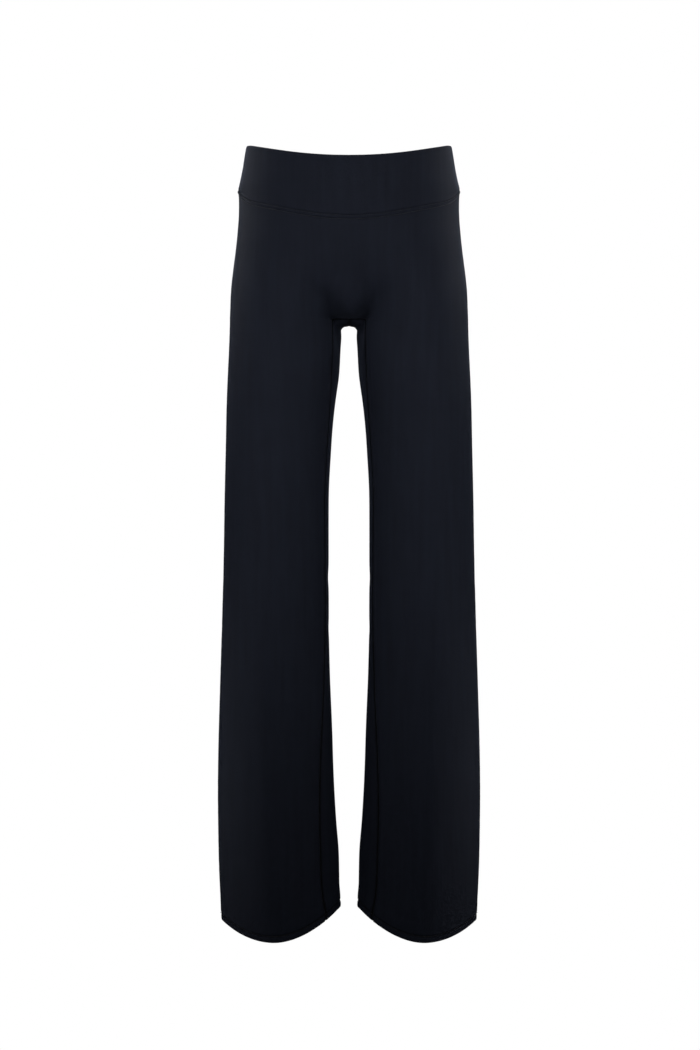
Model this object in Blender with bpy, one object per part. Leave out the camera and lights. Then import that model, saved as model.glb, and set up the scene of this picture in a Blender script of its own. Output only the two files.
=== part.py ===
"""Straight-leg pull-on trousers in stretch knit: seven sewn cloth pieces round one empty form.

Tables and sizes are in millimetres. +Z is up, the front faces -Y and +X is the wearer's left.
The origin is the middle of the waist opening, where the wearer holds the trousers.
Sections of the body and of each leg are worked out from the tables, joined at the crotch by a
smoothed patch, cut into the sewn pieces along the seams and given a wall on the inside.
"""

import bpy
import numpy as np

MM = 0.001  # metres in a millimetre

# Cloth walls and seams
BODY_WALL = 2.0
BAND_WALL = 3.0  # two layers of the waistband
HEM_WALL = 3.4  # the hem is turned up once inside
SEAM_GAP = 0.3  # between neighbouring pieces
HEM_DEPTH = 24.0

# Waist edge and waistband seam: height at the side, the front middle and the back middle
WAIST_EDGE = {"side": 0.0, "front": -20.4, "back": -6.0}
BAND_SEAM = {"side": -58.0, "front": -97.0, "back": -78.0}

# Share of the drop between the side (90 degrees) and the front or back middle (0 degrees)
DROP = {
    "angle": (0, 10, 20, 30, 40, 50, 60, 70, 80, 90),
    "edge": (1.0, 0.97, 0.883, 0.75, 0.587, 0.42, 0.265, 0.135, 0.06, 0.13),
    "seam": (1.0, 0.963, 0.875, 0.765, 0.655, 0.55, 0.45, 0.30, 0.12, 0.0),
}

# Outer edge of the front view, from the waist to the hem
OUTER = {
    "z": (0, -13, -35, -50, -60, -68, -80, -93, -114, -138, -164, -191, -218, -244, -271, -305,
          -338, -405, -473, -541, -609, -678, -746, -815, -885, -954, -1000, -1051),
    "x": (136.3, 138.6, 142.3, 145.6, 147.7, 146.9, 146.6, 146.9, 148.5, 150.8, 154.1, 157.4,
          159.2, 159.8, 160.9, 162.7, 164.2, 166.0, 167.9, 169.3, 171.3, 173.7, 176.2, 178.5,
          179.7, 179.5, 178.4, 176.1),
}

# Inner edge of a leg in the front view, from the crotch to the hem
INNER = {
    "z": (-244, -258, -271, -305, -338, -372, -405, -473, -541, -643, -712, -781, -850, -885,
          -920, -954, -1000, -1033),
    "x": (10.3, 11.3, 11.8, 13.6, 17.8, 21.7, 24.0, 27.3, 27.5, 27.3, 25.9, 23.1, 20.9, 19.2,
          16.9, 14.1, 13.1, 11.3),
}

# Front seam of the inner leg panel
INNER_SEAM = {
    "z": (-231, -284, -337, -416, -470, -604, -739, -834, -890, -957, -1000, -1033),
    "x": (21.5, 22.3, 25.0, 30.3, 32.6, 32.0, 34.7, 38.9, 39.8, 38.3, 36.5, 31.5),
}

# Body section: front and back at the middle, squareness, and how far the middle is drawn in
BODY = {
    "z": (0, -30, -60, -100, -140, -175, -205, -231),
    "front": (-95, -98, -100, -102, -102, -101, -100, -99),
    "back": (95, 99, 105, 115, 123, 126, 125, 121),
    "square": (2.0, 2.03, 2.08, 2.15, 2.2, 2.2, 2.15, 2.1),
    "front_dip": (0, 0, 0, 0, 1, 4, 9, 16),
    "back_dip": (0, 0, 1, 3, 6, 10, 16, 26),
    "strip": (40, 38, 36, 33, 30, 27, 24, 21.5),
}
DIP_WIDTH = 38.0

# Leg section: front and back, and how far the round has become two faces with side corners
LEG = {
    "z": (-200, -260, -300, -380, -460, -540, -600, -680, -760, -860, -960, -1042),
    "front": (-97, -95, -93, -88, -82, -76, -72, -68, -64, -61, -59, -59),
    "back": (119, 109, 101, 90, 80, 71, 67, 69, 71, 66, 61, 58),
    "crease": (0, 0, 0, 0.02, 0.05, 0.1, 0.15, 0.25, 0.4, 0.62, 0.88, 1.0),
}
CREASE_POWER = 1.9
BACK_SEAM_ARC = 45.0  # along the cloth, from the inner edge to the back seam of the inner panel

# Crotch: height of the seams across it, then the middle and the edge of the saddle between them
CROTCH_Z = -231.0
SEAM_RISE = 1.0
SADDLE = {"half_width": 10.6, "middle_z": -239.6, "edge_z": -245.5}
ARCH = {"across": (0.0, 0.42, 0.81, 1.0), "drop": (0.0, 0.07, 0.34, 1.0)}
SADDLE_POWER = 1.8  # how late the saddle's edge rises to the seams
LEG_START = -113.0  # where the body's sections start to turn into the legs'
FAIR_TOP = -138.0
FAIR_BOTTOM = -335.0
FAIR_HELD_COLUMNS = 3  # on each side of the side seam, kept on their own sections

# Hem: mean height, tilt between the inner and the outer edge, and drop of the front
HEM_Z = -1042.0
HEM_TILT = 9.0
HEM_DROP = 25.5
HEM_DROP_POWER = 0.88
HEM_BLEND = 260.0
HEM_STITCH = 9.0  # height of the stitches above the edge
HEM_STEP = 2.0  # over which the wall goes from one layer to two

# Rows of the grid, as shares of the waistband and of the body, then heights down the leg
BAND_ROWS = (0.0, 0.07, 0.3, 0.55, 0.8, 1.0)
BODY_ROWS = (0.0, 0.035, 0.12, 0.24, 0.36, 0.47, 0.58, 0.68, 0.77, 0.855, 0.93, 1.0)
LEG_TOP_ROWS = (-231, -241, -253, -268, -286, -308, -335)
LEG_STEP = 34.0

# Columns of the grid
SIDE_COLUMNS = 11  # inner panel seam to side seam, front and again back
STRIP_COLUMNS = 3  # middle to inner panel seam
INSIDE_COLUMNS = 3  # inner panel seam to inner edge, front and again back
BODY_SAMPLES = 360  # steps of the dense curves that the sections are read from
LEG_SAMPLES = 720


def smooth(table, name, at):
    """Read a named column between its rows, on a cubic that doesn't overshoot them."""
    first = "z" if "z" in table else "angle"
    x = np.array(table[first], float)
    y = np.array(table[name], float)
    order = np.argsort(x)
    x = x[order]
    y = y[order]
    step = np.diff(x)
    slope = np.diff(y) / step
    tangent = np.zeros(len(x))
    tangent[1:-1] = (slope[:-1] * step[1:] + slope[1:] * step[:-1]) / (step[:-1] + step[1:])
    tangent[0] = slope[0]
    tangent[-1] = slope[-1]
    limit = np.full(len(x), 3.0 * np.abs(slope).max())
    limit[:-1] = 3.0 * np.abs(slope)
    limit[1:] = np.minimum(limit[1:], 3.0 * np.abs(slope))
    turning = np.zeros(len(x), bool)
    turning[1:-1] = slope[:-1] * slope[1:] <= 0
    tangent = np.where(turning, 0.0, np.clip(tangent, -limit, limit))
    at = np.clip(np.asarray(at, float), x[0], x[-1])
    i = np.clip(np.searchsorted(x, at) - 1, 0, len(step) - 1)
    t = (at - x[i]) / step[i]
    rise = y[i] * (1 + 2 * t) * (1 - t) ** 2 + y[i + 1] * t * t * (3 - 2 * t)
    bend = tangent[i] * t * (1 - t) ** 2 - tangent[i + 1] * t * t * (1 - t)
    return rise + bend * step[i]


def ease(t):
    t = np.clip(t, 0.0, 1.0)
    return t * t * (3.0 - 2.0 * t)


def along(curve, start, end, count):
    """Split a dense curve between two of its points into equal lengths."""
    step = np.linalg.norm(np.diff(curve, axis=0), axis=1)
    length = np.concatenate([[0.0], np.cumsum(step)])
    places = np.arange(len(curve))
    ends = np.interp([start, end], places, length)
    wanted = np.linspace(ends[0], ends[1], count + 1)
    return np.stack([np.interp(wanted, length, curve[:, i]) for i in range(3)], axis=1)


def place_of(values, target):
    """Where a rising run of values first passes a target, as a fractional index."""
    return float(np.interp(target, np.maximum.accumulate(values), np.arange(len(values))))


def band_height(angle, share, face):
    """Height of a waistband row at an angle from the front or back middle."""
    edge = WAIST_EDGE["side"] + (WAIST_EDGE[face] - WAIST_EDGE["side"]) * smooth(DROP, "edge", angle)
    seam = BAND_SEAM["side"] + (BAND_SEAM[face] - BAND_SEAM["side"]) * smooth(DROP, "seam", angle)
    return edge + (seam - edge) * share


def body_height(angle, share, face):
    """Height of a row of the body below the waistband."""
    seam = band_height(angle, 1.0, face)
    return seam + (CROTCH_Z - seam) * share


def body_face(height, share, face):
    """One quarter of a body row, from the middle to the side, as (strip, side part)."""
    angle = np.linspace(0.0, 90.0, BODY_SAMPLES + 1)
    z = height(angle, share, face)
    turn = np.radians(angle)
    power = 2.0 / smooth(BODY, "square", z)
    x = smooth(OUTER, "x", z) * np.sin(turn) ** power
    depth = smooth(BODY, face, z)
    y = depth * np.cos(turn) ** power
    drawn_in = smooth(BODY, face + "_dip", z) * np.exp(-((x / DIP_WIDTH) ** 2))
    y = y - np.sign(depth) * drawn_in
    curve = np.stack([x, y, z], axis=1)
    split = place_of(x, float(smooth(BODY, "strip", z[0])))
    strip = along(curve, 0.0, split, STRIP_COLUMNS)
    side = along(curve, split, BODY_SAMPLES, SIDE_COLUMNS)
    return strip, side


def leg_face(level, face):
    """Half of a leg row, from the inner edge to the outer edge, as (inside part, side part)."""
    angle = np.radians(np.linspace(0.0, 180.0, LEG_SAMPLES + 1))
    u = -np.cos(angle)
    near_hem = float(ease((HEM_Z + HEM_BLEND - level) / HEM_BLEND))
    inner_x = float(smooth(INNER, "x", level + HEM_TILT * near_hem))
    outer_x = float(smooth(OUTER, "x", level - HEM_TILT * near_hem))
    crease = float(smooth(LEG, "crease", level))
    round_part = np.sin(angle)
    creased_part = 1.0 - np.abs(u) ** CREASE_POWER
    bulge = (1.0 - crease) * round_part + crease * creased_part
    x = (inner_x + outer_x) / 2 + (outer_x - inner_x) / 2 * u
    y = float(smooth(LEG, face, level)) * bulge
    z = level - near_hem * HEM_TILT * u
    if face == "front":
        z = z - near_hem * HEM_DROP * bulge**HEM_DROP_POWER
    curve = np.stack([x, y, z], axis=1)
    if face == "front":
        split = place_of(x, float(smooth(INNER_SEAM, "x", level)))
    else:
        step = np.linalg.norm(np.diff(curve, axis=0), axis=1)
        split = place_of(np.concatenate([[0.0], np.cumsum(step)]), BACK_SEAM_ARC)
    inside = along(curve, 0.0, split, INSIDE_COLUMNS)
    side = along(curve, split, LEG_SAMPLES, SIDE_COLUMNS)
    return inside, side


def leg_levels():
    """Heights of the leg rows, closer at the crotch and at the turned-up hem."""
    top = list(LEG_TOP_ROWS)
    hem = [HEM_Z + HEM_DEPTH + HEM_STEP, HEM_Z + HEM_DEPTH, HEM_Z + HEM_STITCH, HEM_Z]
    count = int(round((top[-1] - hem[0]) / LEG_STEP))
    middle = np.linspace(top[-1], hem[0], count + 1)[1:-1]
    return np.array(top + list(middle) + hem)


def mirrored(points):
    return points * np.array([-1.0, 1.0, 1.0])


class Surface:
    """The whole outer face of the trousers as shared points and labelled quads."""

    def __init__(self):
        self.points = []
        self.walls = []
        self.quads = []
        self.labels = []

    def add(self, point, wall):
        self.points.append(point)
        self.walls.append(wall)
        return len(self.points) - 1

    def add_rows(self, rows, walls):
        """Add a grid of points and give back its indices."""
        return np.array([[self.add(p, wall) for p in row] for row, wall in zip(rows, walls)])

    def cover(self, grid, label_of, flip=False):
        """Put quads over a grid of indices. label_of(row, column) names the piece."""
        for r in range(grid.shape[0] - 1):
            for c in range(grid.shape[1] - 1):
                quad = [grid[r, c], grid[r + 1, c], grid[r + 1, c + 1], grid[r, c + 1]]
                self.quads.append(quad[::-1] if flip else quad)
                self.labels.append(label_of(r, c))


def side_rows():
    """Rows of one half: strips and side parts of the body, then inside and side parts of the leg."""
    shares = [(band_height, s, BAND_WALL) for s in BAND_ROWS[:-1]]
    shares += [(body_height, s, BODY_WALL) for s in BODY_ROWS]
    rows = {"front_strip": [], "back_strip": [], "side": [], "side_walls": []}
    for height, share, wall in shares:
        front_strip, front_side = body_face(height, share, "front")
        back_strip, back_side = body_face(height, share, "back")
        level = front_side[:, 2].mean()
        part = ease((level - LEG_START) / (CROTCH_Z - LEG_START))
        if height is body_height and part > 0:
            leg_front = leg_face(level, "front")[1]
            leg_back = leg_face(level, "back")[1]
            leg_front[:, 2] = front_side[:, 2]
            leg_back[:, 2] = back_side[:, 2]
            part = 1.0 if share == 1.0 else part
            front_side = front_side * (1 - part) + leg_front * part
            back_side = back_side * (1 - part) + leg_back * part
            front_strip = front_strip + np.linspace(0, 1, STRIP_COLUMNS + 1)[:, None] * (
                front_side[0] - front_strip[-1]
            )
            back_strip = back_strip + np.linspace(0, 1, STRIP_COLUMNS + 1)[:, None] * (
                back_side[0] - back_strip[-1]
            )
        rows["front_strip"].append(front_strip)
        rows["back_strip"].append(back_strip)
        rows["side"].append(np.concatenate([front_side, back_side[::-1][1:]]))
        rows["side_walls"].append(wall)
    rows["inside"] = []
    rows["inside_walls"] = []
    levels = leg_levels()
    for number, level in enumerate(levels):
        front_inside, front_side = leg_face(level, "front")
        back_inside, back_side = leg_face(level, "back")
        wall = HEM_WALL if number >= len(levels) - 3 else BODY_WALL
        if number > 0:
            rows["side"].append(np.concatenate([front_side, back_side[::-1][1:]]))
            rows["side_walls"].append(wall)
        inside = np.concatenate([front_inside[::-1], back_inside[1:]])
        sunk = (SADDLE["edge_z"] - CROTCH_Z) * ease((level - FAIR_BOTTOM) / (CROTCH_Z - FAIR_BOTTOM))
        lowered = 1.0 - np.abs(np.linspace(-1, 1, len(inside))) ** 2.0
        inside[:, 2] += sunk * lowered
        rows["inside"].append(inside)
        rows["inside_walls"].append(wall)
    return rows


def build_surface():
    """Lay out every grid of the trousers, sharing the points along their common edges."""
    rows = side_rows()
    skin = Surface()
    body_count = len(BAND_ROWS) - 1 + len(BODY_ROWS)
    band_count = len(BAND_ROWS) - 1
    crotch_row = body_count - 1
    side = {}
    inside = {}
    strips = {}
    for half, sign in (("left", 1.0), ("right", -1.0)):
        turn = np.array([sign, 1.0, 1.0])
        side[half] = skin.add_rows([r * turn for r in rows["side"]], rows["side_walls"])
    for face, edge in (("front", 0), ("back", -1)):
        grid = np.zeros((body_count, 2 * STRIP_COLUMNS + 1), int)
        for r in range(body_count):
            wall = rows["side_walls"][r]
            line = rows[face + "_strip"][r]
            for c in range(STRIP_COLUMNS):
                grid[r, STRIP_COLUMNS + c] = skin.add(line[c], wall)
                if c > 0:
                    grid[r, STRIP_COLUMNS - c] = skin.add(mirrored(line[c]), wall)
            grid[r, 2 * STRIP_COLUMNS] = side["left"][r, edge]
            grid[r, 0] = side["right"][r, edge]
        strips[face] = grid
    width = 2 * INSIDE_COLUMNS + 1
    for half, sign in (("left", 1.0), ("right", -1.0)):
        turn = np.array([sign, 1.0, 1.0])
        grid = np.zeros((len(rows["inside"]), width), int)
        for r, line in enumerate(rows["inside"]):
            grid[r, 0] = side[half][crotch_row + r, 0]
            grid[r, -1] = side[half][crotch_row + r, -1]
            for c in range(1, width - 1):
                grid[r, c] = skin.add(line[c] * turn, rows["inside_walls"][r])
        inside[half] = grid
    patch = np.zeros((width, 2 * STRIP_COLUMNS + 1), int)
    patch[0] = strips["front"][-1]
    patch[-1] = strips["back"][-1]
    patch[:, -1] = inside["left"][0]
    patch[:, 0] = inside["right"][0]
    for r in range(1, width - 1):
        for c in range(1, 2 * STRIP_COLUMNS):
            patch[r, c] = skin.add(np.zeros(3), BODY_WALL)
    bend_saddle(skin, patch)
    lay_quads(skin, side, inside, strips, patch, band_count)
    return skin, side, inside, patch


def bend_saddle(skin, patch):
    """Place the crotch patch: low and narrow at mid depth, rising and widening to its two seams."""
    ends = {-1: skin.points[patch[0, -1]], 1: skin.points[patch[-1, -1]]}
    for r in range(patch.shape[0]):
        v = r / INSIDE_COLUMNS - 1.0
        end = ends[1] if v > 0 else ends[-1]
        half_width = SADDLE["half_width"] + (end[0] - SADDLE["half_width"]) * v * v
        middle_z = SADDLE["middle_z"] + (CROTCH_Z + SEAM_RISE - SADDLE["middle_z"]) * v * v
        edge_z = SADDLE["edge_z"] + (CROTCH_Z - SADDLE["edge_z"]) * abs(v) ** SADDLE_POWER
        for c in range(patch.shape[1]):
            away = abs(c - STRIP_COLUMNS)
            x = np.sign(c - STRIP_COLUMNS) * half_width * ARCH["across"][away]
            z = middle_z + (edge_z - middle_z) * ARCH["drop"][away]
            skin.points[patch[r, c]] = np.array([x, end[1] * abs(v), z])


def lay_quads(skin, side, inside, strips, patch, band_count):
    """Cover the grids with quads facing out, each labelled with its sewn piece."""
    def side_label(half):
        def label(r, c):
            face = "front" if c < SIDE_COLUMNS else "back"
            if r < band_count:
                return "waistband_" + face
            return "front_panel" if face == "front" else "back_panel_" + half
        return label

    def strip_label(face):
        def label(r, c):
            if r < band_count:
                return "waistband_" + face
            if face == "front":
                return "front_panel"
            return "back_panel_left" if c >= STRIP_COLUMNS else "back_panel_right"
        return label

    skin.cover(side["left"], side_label("left"))
    skin.cover(side["right"], side_label("right"), flip=True)
    skin.cover(strips["front"], strip_label("front"))
    skin.cover(strips["back"], strip_label("back"), flip=True)
    skin.cover(inside["left"], lambda r, c: "inner_panel_left", flip=True)
    skin.cover(inside["right"], lambda r, c: "inner_panel_right")
    skin.cover(
        patch, lambda r, c: "inner_panel_left" if c >= STRIP_COLUMNS else "inner_panel_right"
    )


def fair(skin, side, inside, patch):
    """Bend the cloth smoothly between the body and the legs, with the outline held."""
    points = np.array(skin.points)
    quads = np.array(skin.quads)
    middle = INSIDE_COLUMNS
    height = points[:, 2]
    free = (height < FAIR_TOP) & (height > FAIR_BOTTOM)
    for half in ("left", "right"):
        first = SIDE_COLUMNS - FAIR_HELD_COLUMNS
        columns = side[half][:, first : SIDE_COLUMNS + FAIR_HELD_COLUMNS + 1]
        free[columns.ravel()] = False
        for column in (0, middle, -1):
            free[inside[half][:, column]] = False
    free[patch.ravel()] = False
    ends = np.concatenate([quads[:, [i, (i + 1) % 4]] for i in range(4)])
    ends = np.unique(np.sort(ends, axis=1), axis=0)
    weight = 1.0 / np.linalg.norm(points[ends[:, 0]] - points[ends[:, 1]], axis=1)
    near = free.copy()
    for _ in range(2):
        touched = near[ends].any(axis=1)
        near[ends[touched].ravel()] = True
    used = np.flatnonzero(near)
    place = np.full(len(points), -1)
    place[used] = np.arange(len(used))
    both = near[ends].all(axis=1)
    a = place[ends[both, 0]]
    b = place[ends[both, 1]]
    matrix = np.zeros((len(used), len(used)))
    np.add.at(matrix, (a, b), -weight[both])
    np.add.at(matrix, (b, a), -weight[both])
    matrix[np.arange(len(used)), np.arange(len(used))] = -matrix.sum(axis=1)
    matrix = matrix / matrix.diagonal()[:, None]
    inner_rows = free.copy()
    touched = inner_rows[ends].any(axis=1)
    inner_rows[ends[touched].ravel()] = True
    matrix = matrix[place[np.flatnonzero(inner_rows)]]
    moving = place[np.flatnonzero(free)]
    held = np.setdiff1d(np.arange(len(used)), moving)
    right = -matrix[:, held] @ points[used[held]]
    solved = np.linalg.lstsq(matrix[:, moving], right, rcond=None)[0]
    points[used[moving]] = solved
    points[:, 0][np.abs(points[:, 0]) < 1e-6] = 0.0
    return points


def vertex_normals(points, quads):
    corner = points[quads]
    face = np.cross(corner[:, 2] - corner[:, 0], corner[:, 3] - corner[:, 1])
    normals = np.zeros_like(points)
    for i in range(4):
        np.add.at(normals, quads[:, i], face)
    return normals / np.linalg.norm(normals, axis=1)[:, None]


def unit(vector):
    return vector / np.linalg.norm(vector)


def piece_mesh(points, normals, walls, quads):
    """One cloth piece: its outer quads, their inner copies and a rim, drawn in at the seams."""
    quads = np.array(quads)
    used = np.unique(quads)
    place = {int(v): i for i, v in enumerate(used)}
    directed = {(int(q[i]), int(q[(i + 1) % 4])) for q in quads for i in range(4)}
    rim = [edge for edge in sorted(directed) if (edge[1], edge[0]) not in directed]
    following = dict(rim)
    before = {b: a for a, b in rim}
    outer = points[used].copy()
    for v, after in following.items():
        normal = normals[v]
        first = unit(np.cross(normal, points[v] - points[before[v]]))
        second = unit(np.cross(normal, points[after] - points[v]))
        inward = (first + second) / (1.0 + float(first @ second))
        outer[place[v]] = points[v] + inward * SEAM_GAP / 2
    inner = outer - normals[used] * walls[used][:, None]
    count = len(used)
    faces = [[place[int(v)] for v in q] for q in quads]
    faces += [[place[int(v)] + count for v in q[::-1]] for q in quads]
    faces += [[place[b], place[a], place[a] + count, place[b] + count] for a, b in rim]
    return np.concatenate([outer, inner]), faces


def add_object(name, points, faces, colour):
    mesh = bpy.data.meshes.new(name)
    mesh.from_pydata([tuple(p * MM) for p in points], [], faces)
    mesh.validate()
    material = bpy.data.materials.new(name + "_knit")
    material.use_nodes = True
    shader = material.node_tree.nodes["Principled BSDF"]
    shader.inputs["Base Color"].default_value = colour
    shader.inputs["Roughness"].default_value = 0.85
    mesh.materials.append(material)
    obj = bpy.data.objects.new(name, mesh)
    bpy.context.scene.collection.objects.link(obj)


def main():
    for obj in list(bpy.data.objects):
        bpy.data.objects.remove(obj)
    skin, side, inside, patch = build_surface()
    points = fair(skin, side, inside, patch)
    quads = np.array(skin.quads)
    walls = np.array(skin.walls)
    labels = np.array(skin.labels)
    normals = vertex_normals(points, quads)
    colour = (0.009, 0.011, 0.019, 1.0)
    for name in sorted(set(skin.labels)):
        piece_points, faces = piece_mesh(points, normals, walls, quads[labels == name])
        add_object(name, piece_points, faces, colour)


main()
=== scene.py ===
"""Straight-leg pull-on trousers in stretch knit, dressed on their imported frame.

Sizes and tables are in millimetres and become metres when a mesh is made. +Z is up, the front
faces -Y and +X is the wearer's left. The sections are those of the frame's solids, laid out on a
finer grid, smoothed, and given the seams, creases, hems and stitches that the solids leave out.
"""

from __future__ import annotations

import logging
from dataclasses import dataclass, field, replace
from enum import Enum

import bpy
import numpy as np
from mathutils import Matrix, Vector
from mathutils.kdtree import KDTree


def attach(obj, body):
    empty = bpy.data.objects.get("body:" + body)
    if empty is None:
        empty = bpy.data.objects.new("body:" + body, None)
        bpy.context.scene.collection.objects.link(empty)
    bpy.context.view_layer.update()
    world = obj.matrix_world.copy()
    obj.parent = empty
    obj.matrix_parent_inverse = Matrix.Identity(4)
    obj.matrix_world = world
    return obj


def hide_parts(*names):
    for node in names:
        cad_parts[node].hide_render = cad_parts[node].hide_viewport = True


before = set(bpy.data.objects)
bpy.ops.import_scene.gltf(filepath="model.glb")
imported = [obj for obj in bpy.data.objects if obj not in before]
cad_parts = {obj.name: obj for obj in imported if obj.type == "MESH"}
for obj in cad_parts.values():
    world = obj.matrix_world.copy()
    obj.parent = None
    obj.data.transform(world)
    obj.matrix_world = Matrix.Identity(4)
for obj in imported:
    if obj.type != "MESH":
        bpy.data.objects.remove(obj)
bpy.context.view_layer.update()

LOG = logging.getLogger("trousers")
MM = 0.001  # metres in a millimetre
WAVE = 0.31416  # scale of a wave texture whose bands are one unit apart
HALVES = (("left", 1), ("right", -1))  # the wearer's halves, and the side of x that each is on


class Face(Enum):
    """Which way a stretch of cloth looks."""

    FRONT = "front"
    BACK = "back"
    LEFT = "left"
    RIGHT = "right"


class Seam(Enum):
    """The kinds of line that the relief of the cloth follows."""

    BAND = "waistband seam"
    PLAIN = "plain seam"
    WAIST = "waist edge"
    HEM = "hem edge"


# ---------------------------------------------------------------- colour, nodes and meshes


def linear(hex_colour: str) -> tuple[float, float, float, float]:
    """Turn an sRGB colour into the linear values that a shader takes.

    Args:
        hex_colour: six hex digits after a #.
    Returns:
        Linear red, green, blue and an alpha of 1.
    """
    values = [int(hex_colour[i : i + 2], 16) / 255 for i in (1, 3, 5)]
    turned = [v / 12.92 if v <= 0.04045 else ((v + 0.055) / 1.055) ** 2.4 for v in values]
    return (*turned, 1.0)


def add_node(
    tree: bpy.types.NodeTree, kind: str, settings: dict | None = None, inputs: dict | None = None
) -> bpy.types.Node:
    """Add one shader node with its settings, values and links.

    Args:
        tree: node tree that takes the node.
        kind: the node's type name, without its ShaderNode prefix.
        settings: properties of the node itself.
        inputs: input name or number to a value, or to an output socket that it is linked to.
    Returns:
        The node.
    """
    node = tree.nodes.new("ShaderNode" + kind)
    for name, value in (settings or {}).items():
        setattr(node, name, value)
    for name, value in (inputs or {}).items():
        if isinstance(value, bpy.types.NodeSocket):
            tree.links.new(value, node.inputs[name])
        else:
            node.inputs[name].default_value = value
    return node


def blank_material(name: str) -> bpy.types.Material:
    """Make a material that has no nodes yet.

    Args:
        name: its name.
    Returns:
        The new material.
    """
    made = bpy.data.materials.new(name)
    made.use_nodes = True
    made.node_tree.nodes.clear()
    return made


def add_mesh(name: str, points: np.ndarray, faces: list, smooth: bool = True) -> bpy.types.Object:
    """Make a mesh object and put it in the scene.

    Args:
        name: its name.
        points: places in millimetres.
        faces: point numbers of each face.
        smooth: whether it is shaded smooth.
    Returns:
        The new object.
    """
    mesh = bpy.data.meshes.new(name)
    mesh.from_pydata((points * MM).tolist(), [], faces)
    mesh.polygons.foreach_set("use_smooth", np.full(len(faces), smooth))
    mesh.update()
    made = bpy.data.objects.new(name, mesh)
    bpy.context.scene.collection.objects.link(made)
    return made


def aimed(
    name: str, data: bpy.types.ID, place: tuple[float, ...], target: tuple[float, ...]
) -> bpy.types.Object:
    """Hang a light or a camera so that it looks at a target.

    Args:
        name: its name.
        data: the light or the camera.
        place: where it hangs, in metres.
        target: what it looks at, in metres.
    Returns:
        The new object.
    """
    made = bpy.data.objects.new(name, data)
    made.location = place
    way = Vector(target) - Vector(place)
    made.rotation_euler = way.to_track_quat("-Z", "Y").to_euler()
    bpy.context.scene.collection.objects.link(made)
    return made


# ---------------------------------------------------------------- points, sides and tables


def ease(share: np.ndarray | float) -> np.ndarray:
    """Go smoothly from 0 to 1 as the share does."""
    share = np.clip(share, 0.0, 1.0)
    return share * share * (3.0 - 2.0 * share)


def bell(distance: np.ndarray, width: float) -> np.ndarray:
    """Fall smoothly from 1 where there is no distance to about a third at the width."""
    return np.exp(-((distance / width) ** 2))


def length_along(curve: np.ndarray) -> np.ndarray:
    """Length of a curve from its start to each of its points."""
    return np.concatenate([[0.0], np.cumsum(np.linalg.norm(np.diff(curve, axis=0), axis=1))])


def points_along(curve: np.ndarray, length: np.ndarray, wanted: np.ndarray) -> np.ndarray:
    """Points of a curve at the wanted lengths from its start."""
    return np.stack([np.interp(wanted, length, curve[:, i]) for i in range(3)], axis=-1)


def sums_at(places: np.ndarray, values: np.ndarray, count: int) -> np.ndarray:
    """Add up vectors by the numbers of the places that they belong to."""
    return np.stack([np.bincount(places, values[:, i], count) for i in range(3)], axis=1)


def sides_of(quads: np.ndarray) -> np.ndarray:
    """The two ends of each side of each quad, going round it."""
    return np.stack([quads, np.roll(quads, -1, axis=1)], axis=2).reshape(-1, 2)


def edges_of(quads: np.ndarray) -> tuple[np.ndarray, np.ndarray]:
    """Number the edges that quads share.

    Args:
        quads: the quads.
    Returns:
        The two ends of each edge, the lower one first, and the edge on each side of each quad.
    """
    edges, sides = np.unique(np.sort(sides_of(quads), axis=1), axis=0, return_inverse=True)
    return edges, sides.reshape(-1, 4)


def normals_of(points: np.ndarray, quads: np.ndarray) -> np.ndarray:
    """Work out the unit normals of points from the quads round them.

    Args:
        points: the points.
        quads: the quads.
    Returns:
        One normal for each point.
    """
    corner = points[quads]
    face = np.cross(corner[:, 2] - corner[:, 0], corner[:, 3] - corner[:, 1])
    total = sum(sums_at(quads[:, k], face, len(points)) for k in range(4))
    return total / np.linalg.norm(total, axis=1)[:, None]


@dataclass(frozen=True)
class Table:
    """Sizes against a rising or falling first column, read on a cubic that doesn't overshoot."""

    at: tuple[float, ...]
    columns: dict[str, tuple[float, ...]]

    def read(self, name: str, where: np.ndarray | float) -> np.ndarray:
        """Read a column between its rows.

        Args:
            name: the column.
            where: values of the first column.
        Returns:
            The sizes there.
        """
        x = np.array(self.at, float)
        order = np.argsort(x)
        x = x[order]
        y = np.array(self.columns[name], float)[order]
        step = np.diff(x)
        slope = np.diff(y) / step
        weighed = (slope[:-1] * step[1:] + slope[1:] * step[:-1]) / (step[:-1] + step[1:])
        tangent = np.concatenate([slope[:1], weighed, slope[-1:]])
        most = 3.0 * np.abs(slope)  # a steeper tangent would overshoot
        limit = np.minimum(np.append(most, most[-1]), np.append(most[0], most))
        turning = np.pad(slope[:-1] * slope[1:] <= 0, 1)
        tangent = np.where(turning, 0.0, np.clip(tangent, -limit, limit))
        where = np.clip(np.asarray(where, float), x[0], x[-1])
        i = np.clip(np.searchsorted(x, where) - 1, 0, len(step) - 1)
        t = (where - x[i]) / step[i]
        rise = y[i] * (1 + 2 * t) * (1 - t) ** 2 + y[i + 1] * t * t * (3 - 2 * t)
        bend = tangent[i] * t * (1 - t) ** 2 - tangent[i + 1] * t * t * (1 - t)
        return rise + bend * step[i]


def spaced(
    total: np.ndarray | float, first: tuple[float, ...], last: tuple[float, ...], count: int
) -> np.ndarray:
    """Places along a length: close to its two ends as given, and even between them.

    Args:
        total: the length, or one length for each of several lines.
        first: distances from the start.
        last: distances from the end, the nearest to the end first.
        count: how many even spaces fill the rest.
    Returns:
        Places from 0 to the length, along the first axis.
    """
    total = np.asarray(total, float)
    start = first[-1] if first else 0.0
    end = total - (last[-1] if last else 0.0)
    places = [np.zeros_like(total)]
    places += [np.zeros_like(total) + near for near in first]
    places += [start + (end - start) * k / count for k in range(1, count)]
    places += [total - near for near in reversed(last)]
    places.append(total)
    return np.array(places)


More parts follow.
